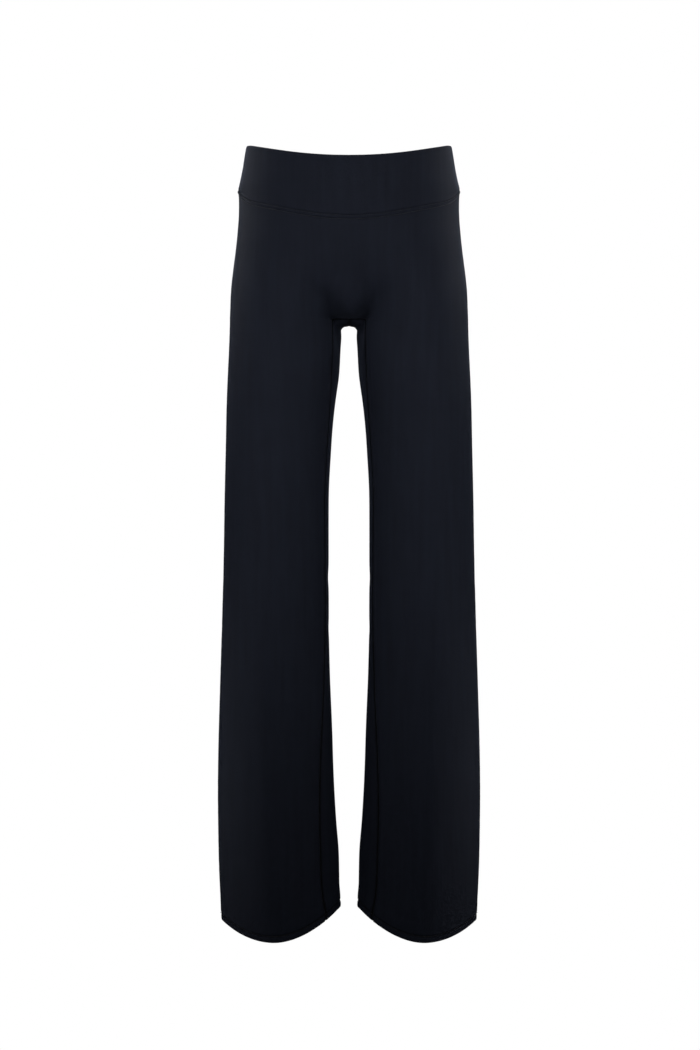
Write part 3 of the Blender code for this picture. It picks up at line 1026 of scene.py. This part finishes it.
@dataclass
class Relief:
    """Seams, rolled edges and creases, as heights on the smooth skin; seams get painted shade."""

    plain_depth: float = 1.15
    plain_width: float = 1.35
    crossing_reach: float = 3.0  # how near the waistband a plain seam grows shallow
    crotch_fade: float = 0.75  # how much shallower the seam is where the inner panels meet
    crotch_width: float = 5.0
    crotch_top: float = -225.0
    stiff_reach: float = 6.0  # how far a seam keeps folds away
    beads: tuple[Bead, ...] = (
        # plain seams: the pucker, the lip of the allowance and the shadow in the groove
        Bead(Seam.PLAIN, 0.0, 6.0, 0.10, ripple=12.0, seed=0.4),
        Bead(Seam.PLAIN, 3.6, 1.8, 0.22, clear=True),
        Bead(Seam.PLAIN, 0.0, 2.3, shade=1.0),
        # waistband: groove and holding stitches, both with painted shade, raised allowance,
        # pucker
        Bead(Seam.BAND, 0.0, 0.9, -0.42, shade=0.2),
        Bead(Seam.BAND, 2.8, 1.7, 0.75, below_band=True),
        Bead(Seam.BAND, 5.6, 0.85, -0.45, shade=0.2, below_band=True),
        Bead(Seam.BAND, 0.0, 8.0, 0.12, ripple=9.0, seed=1.7),
        # hem: the stitches, with painted shade along them, and the pucker round them
        Bead(Seam.HEM, 9.0, 1.6, -0.8, shade=0.6),
        Bead(Seam.HEM, 9.0, 8.0, 0.16, ripple=14.0, seed=2.9),
    )
    hem_stitch: float = 9.0
    hem_swell: float = 0.35
    hem_depth: float = 24.0
    hem_roll: float = 3.0  # how far from the edge the hem reaches its full height
    hem_fade: float = 12.0  # over how much height it sinks back to one layer
    # The cloth above the crotch seam is drawn under: its depth and reach, and, each as a place
    # and the distance over which it fades, how deep, how far out and how far down this goes
    tuck_depth: float = 7.0
    tuck_reach: float = 10.0
    tuck_front: tuple[float, float] = (15.0, 40.0)
    tuck_side: tuple[float, float] = (46.0, 24.0)
    tuck_low: tuple[float, float] = (262.0, 26.0)
    tuck_top: float = -150.0
    # Walls
    cloth: float = 0.9
    band: float = 2.4
    hem: float = 2.0
    edge_samples: int = 9  # places on each fine edge that distances are measured from
    folds: tuple[Fold, ...] = ()
    hollows: tuple[Fold, ...] = ()  # they run on over seams and move the cloth in depth alone

    def distances(self, skin: Skin) -> dict[Seam, np.ndarray]:
        """Distance of each fine point from the nearest line of each kind.

        Args:
            skin: the smooth skin.
        Returns:
            Distances in millimetres.
        """
        found = {}
        for kind, edges in skin.edges_between().items():
            a, b = skin.points[edges].transpose(1, 0, 2)[:, :, None]
            share = np.linspace(0, 1, self.edge_samples)[None, :, None]
            samples = (a * (1 - share) + b * share).reshape(-1, 3)
            tree = KDTree(len(samples))
            for i, sample in enumerate(samples):
                tree.insert(sample, i)
            tree.balance()
            found[kind] = np.array([tree.find(p)[2] for p in skin.points])
        return found

    @staticmethod
    def wave(points: np.ndarray, length: float, seed: float) -> np.ndarray:
        """Make an uneven ripple.

        Args:
            points: places on the cloth.
            length: its wavelength, roughly.
            seed: what makes it differ from another.
        Returns:
            Heights from -1 to 1.
        """
        turn = 2 * np.pi / length
        x, y, z = points.T
        first = np.sin(turn * (0.9 * z + 0.35 * x) + seed)
        second = np.sin(turn * (0.57 * z - 0.6 * x + 0.3 * y) + 2.1 * seed)
        third = np.sin(turn * (1.31 * z + 0.2 * y - 0.15 * x) + 0.7 * seed)
        return (first + second + 0.7 * third) / 2.7

    def inward(self, points: np.ndarray, normals: np.ndarray, plain: np.ndarray) -> np.ndarray:
        """How far the cloth in front is drawn back round the crotch.

        Args:
            points: places on the cloth.
            normals: their unit normals.
            plain: their distances from the nearest plain seam.
        Returns:
            Distances in millimetres.
        """
        x, y, z = points.T
        (front, deep), (side, out), (low, down) = self.tuck_front, self.tuck_side, self.tuck_low
        around = ease((side - np.abs(x)) / out) * ease((z + low) / down) * (z < self.tuck_top)
        found = self.tuck_depth * bell(plain, self.tuck_reach) * around
        for hollow in self.hollows:
            found -= hollow.heights(points, normals)
        return found * ease((-y - front) / deep)

    def apply(self, skin: Skin) -> dict[str, np.ndarray]:
        """Move the skin's points by the relief.

        Args:
            skin: the smooth skin, whose points move.
        Returns:
            Distances, and how much painted shade darkens each point, from 0 to 1.
        """
        near = self.distances(skin)
        points, normals = skin.points, skin.normals()
        plain, hem = near[Seam.PLAIN], near[Seam.HEM]
        below = np.ones(len(points), bool)
        below[skin.quads[np.char.startswith(skin.labels, "waistband")].ravel()] = False
        clear = 1.0 - bell(near[Seam.BAND], self.crossing_reach)
        middle = bell(points[:, 0], self.crotch_width) * (points[:, 2] < self.crotch_top)
        height = -self.plain_depth * bell(plain, self.plain_width) * (1.0 + clear) / 2
        height *= 1.0 - self.crotch_fade * middle
        # painted shade: how far the colour darkens along seams, hems and stitches
        depth = np.zeros(len(points))
        for bead in self.beads:
            profile = bell(near[bead.seam] - bead.place, bead.width)
            profile = profile * below if bead.below_band else profile
            profile = profile * clear if bead.clear else profile
            depth += bead.shade * profile
            if bead.ripple:
                profile = profile * self.wave(points, bead.ripple, bead.seed)
            height += bead.height * profile
        turned = ease((self.hem_depth + self.hem_fade / 2 - hem) / self.hem_fade)
        height += self.hem_swell * ease(hem / self.hem_roll) * turned
        for fold in self.folds:
            height += fold.heights(points, normals) * (1.0 - bell(plain, self.stiff_reach))
        skin.points = points + normals * height[:, None]
        skin.points[:, 1] += self.inward(points, normals, plain)
        return {"waist": near[Seam.WAIST], "hem": hem, "depth": np.clip(depth, 0, 1)}


# ---------------------------------------------------------------- finishes


@dataclass(frozen=True)
class InterlockKnit:
    """Nylon and elastane interlock, knitted fine, piece-dyed dark navy and left unbrushed.

    It gives a matt, nearly black blue that lightens where the cloth turns away from the eye,
    because the fine filaments stand up from the face as a soft sheen.
    """

    name: str
    face: str = "#1e222d"
    shade: str = "#1a1d27"
    # painted shade: the near-black that the cloth darkens towards in seam grooves, along stitches
    # and at the hem
    groove_painted_shade: str = "#030304"
    sheen_tint: str = "#99a4c2"
    roughness: float = 0.78
    sheen: float = 0.13
    sheen_roughness: float = 0.38
    wale_mm: float = 2.2  # a real wale is about 0.6 mm; drawn coarser so that it shows
    course_mm: float = 1.9
    streak_mm: float = 9.0  # uneven wales, seen as faint streaks down the cloth
    blotch_mm: float = 50.0  # unevenness of the dye
    bump_mm: float = 0.08

    def material(self) -> bpy.types.Material:
        """Make the material.

        Returns:
            The new material.
        """
        made = blank_material(self.name)
        tree = made.node_tree
        flat = add_node(tree, "UVMap", {"uv_map": "cloth"}).outputs["UV"]
        wales, courses = (
            add_node(
                tree, "TexWave",
                {"wave_type": "BANDS", "bands_direction": way, "wave_profile": "SIN"},
                {"Vector": flat, "Scale": WAVE / size, "Distortion": bent, "Detail": 2.0,
                 "Detail Scale": detail},
            ).outputs["Fac"]
            for way, size, bent, detail in (
                ("X", self.wale_mm, 0.35, 0.6), ("Y", self.course_mm, 0.5, 1.0)
            )
        )
        long = add_node(
            tree, "Mapping", {"vector_type": "POINT"},
            {"Vector": flat, "Scale": (1.0 / self.streak_mm, 0.07 / self.streak_mm, 1.0)},
        ).outputs["Vector"]
        streaks, blotch, fuzz = (
            add_node(
                tree, "TexNoise", {"noise_dimensions": "2D"},
                {"Vector": place, "Scale": scale, "Detail": detail, "Roughness": rough},
            ).outputs["Fac"]
            for place, scale, detail, rough in (
                (long, 1.0, 4.0, 0.55),
                (flat, 1.0 / self.blotch_mm, 3.0, 0.5),
                (flat, 0.9, 2.0, 0.6),
            )
        )
        tone = add_node(
            tree, "Math", {"operation": "MULTIPLY_ADD"}, {0: blotch, 1: 0.3, 2: streaks}
        ).outputs[0]
        mixed = add_node(
            tree, "MapRange", {}, {"Value": tone, "From Min": 0.3, "From Max": 1.0}
        ).outputs["Result"]
        # painted shade along seams, hems and stitches, read from the cloth's attribute, darkens
        # the colour
        painted_shade = add_node(tree, "Attribute", {"attribute_name": "groove_painted_shade"}).outputs["Fac"]
        colour = linear(self.shade)
        for share, tint in ((mixed, self.face), (painted_shade, self.groove_painted_shade)):
            colour = add_node(
                tree, "Mix", {"data_type": "RGBA"}, {0: share, 6: colour, 7: linear(tint)}
            ).outputs[2]
        rough = add_node(
            tree, "Math", {"operation": "MULTIPLY"}, {0: wales, 1: courses}
        ).outputs[0]
        for grain, amount in ((fuzz, 0.8), (streaks, 1.1)):
            rough = add_node(
                tree, "Math", {"operation": "MULTIPLY_ADD"}, {0: grain, 1: amount, 2: rough}
            ).outputs[0]
        bump = add_node(
            tree, "Bump", {}, {"Height": rough, "Strength": 0.9, "Distance": self.bump_mm * MM}
        ).outputs["Normal"]
        shader = add_node(
            tree, "BsdfPrincipled", {},
            {"Base Color": colour, "Roughness": self.roughness, "Normal": bump,
             "Specular IOR Level": 0.1, "Sheen Weight": self.sheen,
             "Sheen Roughness": self.sheen_roughness, "Sheen Tint": linear(self.sheen_tint)},
        )
        add_node(tree, "OutputMaterial", {}, {"Surface": shader.outputs["BSDF"]})
        return made


@dataclass(frozen=True)
class SewingThread:
    """Textured polyester thread, dyed to match and laid on top by a coverstitch machine.

    Its filaments are straighter than the knit's, so it is a touch glossier and lighter.
    """

    name: str = "textured_polyester_thread"
    colour: str = "#10131b"
    # painted shade between the turns of the thread's twist
    hollow: str = "#07080c"  # between the turns of its twist
    roughness: float = 0.55
    sheen: float = 0.1
    sheen_roughness: float = 0.4
    twist_mm: float = 0.9
    bump_mm: float = 0.1

    def material(self) -> bpy.types.Material:
        """Make the material.

        Returns:
            The new material.
        """
        made = blank_material(self.name)
        tree = made.node_tree
        place = add_node(tree, "TexCoord").outputs["Object"]
        twist = add_node(
            tree, "TexWave", {"wave_type": "BANDS", "bands_direction": "DIAGONAL"},
            {"Vector": place, "Scale": WAVE / (self.twist_mm * MM), "Distortion": 1.0},
        ).outputs["Fac"]
        # the thread's colour, darker between the turns of its twist as painted shade
        tint = add_node(
            tree, "Mix", {"data_type": "RGBA"},
            {0: twist, 6: linear(self.hollow), 7: linear(self.colour)},
        ).outputs[2]
        bump = add_node(
            tree, "Bump", {}, {"Height": twist, "Strength": 0.5, "Distance": self.bump_mm * MM}
        ).outputs["Normal"]
        shader = add_node(
            tree, "BsdfPrincipled", {},
            {"Base Color": tint, "Roughness": self.roughness, "Normal": bump,
             "Sheen Weight": self.sheen, "Sheen Roughness": self.sheen_roughness},
        )
        add_node(tree, "OutputMaterial", {}, {"Surface": shader.outputs["BSDF"]})
        return made


# ---------------------------------------------------------------- sewn pieces


@dataclass
class ClothPiece:
    """One sewn piece of cloth: its share of the skin with a rounded wall behind it."""

    node: str
    flat: tuple[float, float]  # metres, the rectangle round the cut of what shows
    area: float  # square metres of the cut
    hem_step: float = 1.6  # over how much height the wall goes from one layer to the hem's two
    thinnest: float = 0.16  # wall left at the very edge, where it is rounded off

    def build(self, skin: Skin, marks: dict[str, np.ndarray], relief: Relief) -> bpy.types.Object:
        """Make the piece's closed shell.

        Args:
            skin: the smooth skin with its relief.
            marks: distances and painted shade of the skin's points.
            relief: the walls' thicknesses.
        Returns:
            The new object.
        """
        mine = skin.labels == self.node
        quads = skin.quads[mine]
        used, local = np.unique(quads, return_inverse=True)
        local = local.reshape(-1, 4)
        count = len(used)
        edge = np.minimum(marks["waist"][used], marks["hem"][used])
        turned = ease((relief.hem_depth - marks["hem"][used]) / self.hem_step + 0.5)
        wall = relief.cloth + (relief.hem - relief.cloth) * turned
        if "waistband" in self.node:
            wall = np.full(count, relief.band)
        radius = wall / 2
        inside = np.clip(radius - edge, 0, None)
        half = np.maximum(np.sqrt(np.maximum(radius**2 - inside**2, 0.0)), self.thinnest / 2)
        normals = skin.normals()[used]
        outer = skin.points[used] - normals * (radius - half)[:, None]
        inner = skin.points[used] - normals * (radius + half)[:, None]
        keys = set(map(tuple, sides_of(local).tolist()))
        rim = sorted((a, b) for a, b in keys if (b, a) not in keys)
        walls = [[b, a, a + count, b + count] for a, b in rim]
        faces = np.concatenate([local, local[:, ::-1] + count, np.array(walls)])
        flats = np.concatenate(
            [skin.flats[mine], skin.flats[mine][:, ::-1], np.zeros((len(walls), 4, 2))]
        )
        # painted shade along seams, hems and stitches; none on the inner face
        depth = np.concatenate([marks["depth"][used], np.zeros(count)])
        made = add_mesh(self.node + "_cloth", np.concatenate([outer, inner]), faces.tolist())
        layer = made.data.uv_layers.new(name="cloth")
        layer.data.foreach_set("uv", flats.reshape(-1).astype(np.float32))
        shade = made.data.attributes.new("groove_painted_shade", "FLOAT", "POINT")
        shade.data.foreach_set("value", depth.astype(np.float32))
        return made

    def dress(
        self, made: bpy.types.Object, finish: InterlockKnit, sewing: list[bpy.types.Object]
    ) -> None:
        """Give the piece its finish, fix it to the trousers and hide the frame's part that it
        stands for.

        Args:
            made: the piece.
            finish: its cloth.
            sewing: stitches that lie on it; not used.
        """
        made.data.materials.append(finish.material())
        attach(made, "root")
        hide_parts(self.node)
        LOG.info("%s: %d faces", made.name, len(made.data.polygons))


@dataclass
class StitchRow:
    """A row of coverstitches as one joined mesh.

    A real stitch is about 2.8 mm of 0.3 mm thread; each is drawn a little longer and thicker so
    that it shows.
    """

    name: str
    slot: str
    pitch: float = 3.4
    length: float = 2.7
    thickness: float = 0.55
    sides: int = 6
    look_ahead: float = 0.5  # how far along the path its direction is read
    # Share of the length, share of the thickness, and how far above the cloth
    profile: tuple[tuple[float, float, float], ...] = (
        (0.0, 0.3, -0.25), (0.1, 0.8, -0.02), (0.3, 1.0, 0.1), (0.5, 1.0, 0.14),
        (0.7, 1.0, 0.1), (0.9, 0.8, -0.02), (1.0, 0.3, -0.25),
    )

    def build(
        self, runs: list[np.ndarray], points: np.ndarray, normals: np.ndarray
    ) -> bpy.types.Object:
        """Lay stitches along paths on the cloth.

        Args:
            runs: numbers of the points on each path.
            points: the cloth's points.
            normals: its normals.
        Returns:
            The new object.
        """
        share, wide, lift = np.array(self.profile).T[:, :, None]
        turn = np.linspace(0, 2 * np.pi, self.sides, endpoint=False)[:, None]
        stitches = []
        for run in runs:
            path = points[run]
            along = length_along(path)
            count = int(along[-1] // self.pitch)
            at = np.arange(count)[:, None] * along[-1] / count + share[:, 0] * self.length
            centre = points_along(path, along, at)
            up = points_along(normals[run], along, at)
            up /= np.linalg.norm(up, axis=2, keepdims=True)
            aside = np.cross(up, points_along(path, along, at + self.look_ahead) - centre)
            aside /= np.maximum(np.linalg.norm(aside, axis=2, keepdims=True), 1e-9)
            spokes = aside[:, :, None] * np.cos(turn) + up[:, :, None] * np.sin(turn)
            radius = (self.thickness / 2 * wide)[:, :, None]
            stitches.append((centre + up * lift)[:, :, None] + spokes * radius)
        corners = np.concatenate(stitches)
        number, rings = corners.shape[:2]
        a = np.arange((rings - 1) * self.sides).reshape(-1, self.sides)
        b = np.roll(a, -1, axis=1)
        walls = np.stack([a, b, b + self.sides, a + self.sides], axis=2).reshape(-1, 4).tolist()
        first = list(range(self.sides))
        last = [(rings - 1) * self.sides + s for s in first]
        starts = np.arange(number) * rings * self.sides
        faces = [[int(base) + s for s in face] for base in starts
                 for face in (*walls, first[::-1], last)]
        return add_mesh(self.name, corners.reshape(-1, 3), faces)

    def dress(self, made: bpy.types.Object, finish: bpy.types.Material) -> None:
        """Give the stitches their thread and fix them to the trousers.

        Args:
            made: the stitches.
            finish: the thread's material.
        """
        made.data.materials.append(finish)
        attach(made, "root")
        LOG.info("%s: %d faces", made.name, len(made.data.polygons))


@dataclass
class Trousers:
    """The whole garment: cloth pieces on one skin, and the sewing that shows on them."""

    block: TrouserBlock = field(default_factory=TrouserBlock)
    relief: Relief = field(default_factory=lambda: Relief(folds=creases(), hollows=hollows()))
    pieces: tuple[ClothPiece, ...] = (
        ClothPiece("waistband_front", (0.36, 0.10), 0.0276),
        ClothPiece("waistband_back", (0.37, 0.09), 0.0264),
        ClothPiece("front_panel", (0.48, 0.99), 0.3780),
        ClothPiece("back_panel_left", (0.26, 0.99), 0.1830),
        ClothPiece("back_panel_right", (0.26, 0.99), 0.1830),
        ClothPiece("inner_panel_left", (0.22, 0.82), 0.0632),
        ClothPiece("inner_panel_right", (0.22, 0.82), 0.0632),
    )
    # Rows of the grid below the waistband seam that carry its stitches
    stitched_rows: dict[str, int] = field(default_factory=lambda: {"upper": 1, "lower": 3})
    longest_step: float = 15.0  # a line of points that jumps further is broken there

    def build(self) -> None:
        """Make and dress every piece."""
        cage = Cage(self.block)
        skin = Skin(cage)
        marks = self.relief.apply(skin)
        normals = skin.normals()
        LOG.info("skin: %d points, %d quads", len(skin.points), len(skin.quads))
        thread = SewingThread().material()
        sewing = self._sew(cage, skin, normals)
        for row, made in sewing:
            row.dress(made, thread)
        for piece in self.pieces:
            made = piece.build(skin, marks, self.relief)
            lying = [s for row, s in sewing if row.slot == piece.node]
            piece.dress(made, InterlockKnit(piece.node + "_interlock_knit"), lying)

    def _sew(
        self, cage: Cage, skin: Skin, normals: np.ndarray
    ) -> list[tuple[StitchRow, bpy.types.Object]]:
        """Lay the rows of stitches under the waistband and round the hems.

        Args:
            cage: the grid, whose rows carry the stitches.
            skin: the finished skin.
            normals: its normals.
        Returns:
            Each row and its object.
        """
        block = self.block
        lines = []
        for name, under in self.stitched_rows.items():
            line = skin.trace(cage.ring(block.band_rows + under))
            ahead = skin.points[line, 1] < 0
            for face, slot, part in (
                ("front", "front_panel", line[ahead]), ("back", "back_panel_left", line[~ahead])
            ):
                lines.append((f"waistband_{name}_stitching_{face}", slot, self._runs(part, skin)))
        stitch = block.hem_rows[::-1].index(self.relief.hem_stitch)
        for half, _ in HALVES:
            line = skin.trace(cage.leg_ring(half, -1 - stitch))
            lines.append((f"hem_stitching_{half}", f"back_panel_{half}", [line]))
        rows = [(StitchRow(name, slot), runs) for name, slot, runs in lines]
        return [(row, row.build(runs, skin.points, normals)) for row, runs in rows]

    def _runs(self, part: np.ndarray, skin: Skin) -> list[np.ndarray]:
        """Split a line of fine points where it jumps.

        Args:
            part: the line.
            skin: the finished skin.
        Returns:
            Its unbroken runs.
        """
        step = np.linalg.norm(np.diff(skin.points[part], axis=0), axis=1)
        runs = np.split(part, np.flatnonzero(step > self.longest_step) + 1)
        return [run for run in runs if len(run) > 2]


def hollows() -> tuple[Fold, ...]:
    """Draw the hollows from the thighs down to the two ends of the crotch seam.

    Returns:
        The folds that make them.
    """
    found = []
    for sign in (1.0, -1.0):
        found += [
            Fold(Face.FRONT, (sign * 50, -178), (sign * 13, -256), 22, -7.0, -sign * 3, 0.75),
            Fold(Face.FRONT, (sign * 56, -176), (sign * 24, -240), 36, -1.8, -sign * 3, 0.7),
        ]
    return tuple(found)


def creases() -> tuple[Fold, ...]:
    """Draw the main creases, those of the hidden sides included.

    Returns:
        One fold for each.
    """
    found = [
        Fold(Face.FRONT, (0.0, -168), (0.0, -234), 44, 1.4),
        Fold(Face.FRONT, (-24.0, -208), (24.0, -208), 40, 5.0),
    ]
    for sign in (1.0, -1.0):
        side = Face.LEFT if sign > 0 else Face.RIGHT
        uneven = 1.0 + 0.12 * sign
        found += [
            # front: the fullness of the thigh and the faint fall of the legs
            Fold(Face.FRONT, (sign * 80, -158), (sign * 86, -350), 84, 3.6),
            Fold(Face.FRONT, (sign * 96, -640), (sign * 104, -960), 17, -0.55 * uneven, sign * 4),
            Fold(Face.FRONT, (sign * 128, -720), (sign * 134, -1000), 15, -0.45, -sign * 3),
            Fold(Face.FRONT, (sign * 70, -760), (sign * 68, -985), 14, -0.4 * uneven),
            Fold(Face.FRONT, (sign * 60, -505), (sign * 128, -560), 26, -0.7, 6),
            # back: drag lines under the seat, behind the knee and above the hem
            Fold(Face.BACK, (sign * 30, -262), (sign * 108, -232), 24, -3.3 * uneven, 9),
            Fold(Face.BACK, (sign * 34, -298), (sign * 94, -284), 20, -2.2, 7),
            Fold(Face.BACK, (sign * 46, -540), (sign * 132, -574), 34, -2.3, -9 * uneven),
            Fold(Face.BACK, (sign * 58, -596), (sign * 140, -608), 27, -1.7 * uneven, -6),
            Fold(Face.BACK, (sign * 52, -644), (sign * 112, -663), 25, -1.3, 5),
            Fold(Face.BACK, (sign * 92, -700), (sign * 99, -985), 20, -0.7, sign * 5),
            Fold(Face.BACK, (sign * 130, -780), (sign * 134, -1010), 16, -0.5 * uneven),
            # outer and inner sides
            Fold(side, (-40, -205), (46, -232), 30, -0.9, 6),
            Fold(side, (-34, -552), (30, -590), 24, -0.8 * uneven, -5),
            Fold(side, (-18, -640), (26, -655), 20, -0.5),
        ]
    return tuple(found)


# ---------------------------------------------------------------- studio


@dataclass(frozen=True)
class Softbox:
    """A large soft studio light, placed and aimed in metres."""

    name: str
    place: tuple[float, float, float]
    target: tuple[float, float, float]
    width: float
    height: float
    watts: float
    spread: float = 180.0  # degrees, narrowed by a grid

    def mirrored(self) -> Softbox:
        """Make the same softbox for the wearer's other side.

        Returns:
            The new softbox.
        """
        flip = np.array([-1.0, 1.0, 1.0])
        place, target = tuple(flip * self.place), tuple(flip * self.target)
        return replace(self, name=self.name + "_right", place=place, target=target)


@dataclass
class Studio:
    """Pale floor, white surround, softboxes and the camera of the photograph."""

    camera_height: float = -0.264
    camera_distance: float = 2.8
    camera_x: float = 0.00135
    aim_z: float = -0.507
    lens_mm: float = 71.22
    floor_z: float = -1.45
    floor_half: float = 30.0
    floor_grey: str = "#6e6e6e"  # what the light finds, so that little of it comes back up
    softboxes: tuple[Softbox, ...] = (
        Softbox("front_softbox", (0.7, -1.1, 0.25), (0.0, 0.0, -0.2), 0.4, 0.7, 3.6),
        Softbox("middle_softbox", (0.0, -1.6, 0.1), (0.0, 0.0, -0.2), 0.5, 0.5, 0.56, 60),
        Softbox("thigh_softbox", (0.9, -0.35, -0.35), (0.0, 0.0, -0.4), 0.3, 0.6, 0.9),
        Softbox("leg_softbox", (1.1, -1.0, -0.4), (0.12, 0.0, -0.46), 0.2, 0.6, 0.11, 28),
        Softbox("hem_softbox", (1.2, 0.1, -0.8), (0.15, 0.0, -0.88), 0.15, 0.4, 0.105, 28),
        Softbox("hip_rim_softbox", (0.8, 0.45, 0.1), (0.0, 0.0, -0.08), 0.2, 0.4, 0.55),
        Softbox("waist_rim_softbox", (0.8, 0.3, 0.05), (0.13, 0.0, -0.04), 0.2, 0.3, 0.14, 40),
        Softbox("inside_softbox", (0.0, -0.45, 1.5), (0.0, 0.1, -0.07), 0.12, 0.12, 0.03, 12),
        Softbox("top_softbox", (0.0, 0.3, 1.5), (0.0, 0.04, -0.2), 0.4, 0.4, 1.6, 40),
        Softbox("back_softbox", (0.0, 1.4, 1.0), (0.0, 0.0, -0.5), 0.7, 0.5, 6.0, 90),
    )
    room_light: float = 0.006  # what reaches the cloth from the rest of the white room

    def build(self) -> None:
        """Set up the floor, surround, lights and camera."""
        self._floor()
        self._surround()
        for box in self.softboxes:
            self._light(box)
            if box.place[0] != 0.0:
                self._light(box.mirrored())
        self._camera()
        bpy.context.scene.view_settings.view_transform = "Standard"

    def _floor(self) -> None:
        """Lay a plain floor, white to the camera and greyer to the light that it throws back."""
        corners = np.array([(-1, -1), (1, -1), (1, 1), (-1, 1)]) * self.floor_half
        corners = np.column_stack([corners, np.full(4, self.floor_z)])
        floor = add_mesh("studio_floor", corners / MM, [[0, 1, 2, 3]], smooth=False)
        material = blank_material("matt_white_paper")
        tree = material.node_tree
        seen = add_node(tree, "LightPath").outputs["Is Camera Ray"]
        white = add_node(tree, "Emission", {}, {"Color": (1, 1, 1, 1), "Strength": 1.0})
        paper = add_node(tree, "BsdfDiffuse", {}, {"Color": linear(self.floor_grey)})
        mix = add_node(
            tree, "MixShader", {},
            {0: seen, 1: paper.outputs["BSDF"], 2: white.outputs["Emission"]},
        )
        add_node(tree, "OutputMaterial", {}, {"Surface": mix.outputs["Shader"]})
        floor.data.materials.append(material)

    def _surround(self) -> None:
        """Close the scene with a white room that lights the cloth a little."""
        world = bpy.data.worlds.new("white_studio")
        bpy.context.scene.world = world
        world.use_nodes = True
        tree = world.node_tree
        tree.nodes.clear()
        seen = add_node(tree, "LightPath").outputs["Is Camera Ray"]
        strength = add_node(
            tree, "Math", {"operation": "MAXIMUM"}, {0: seen, 1: self.room_light}
        ).outputs[0]
        surround = add_node(tree, "Background", {}, {"Color": (1, 1, 1, 1), "Strength": strength})
        add_node(tree, "OutputWorld", {}, {"Surface": surround.outputs["Background"]})

    @staticmethod
    def _light(box: Softbox) -> None:
        """Hang one softbox.

        Args:
            box: its place, size and power.
        """
        lamp = bpy.data.lights.new(box.name, "AREA")
        lamp.shape = "RECTANGLE"
        lamp.size = box.width
        lamp.size_y = box.height
        lamp.energy = box.watts
        lamp.spread = np.radians(box.spread)
        aimed(box.name, lamp, box.place, box.target).visible_camera = False

    def _camera(self) -> None:
        """Stand the camera where the photograph was taken from."""
        lens = bpy.data.cameras.new("studio_camera")
        lens.sensor_fit = "VERTICAL"
        lens.sensor_height = 36.0
        lens.lens = self.lens_mm
        lens.clip_end = 100.0
        place = (self.camera_x, -self.camera_distance, self.camera_height)
        target = (self.camera_x, 0.0, self.aim_z)
        bpy.context.scene.camera = aimed("studio_camera", lens, place, target)


def main() -> None:
    """Dress the trousers, then set the studio round them."""
    logging.basicConfig(level=logging.INFO, format="%(message)s")
    Trousers().build()
    Studio().build()


if __name__ == "__main__":
    main()
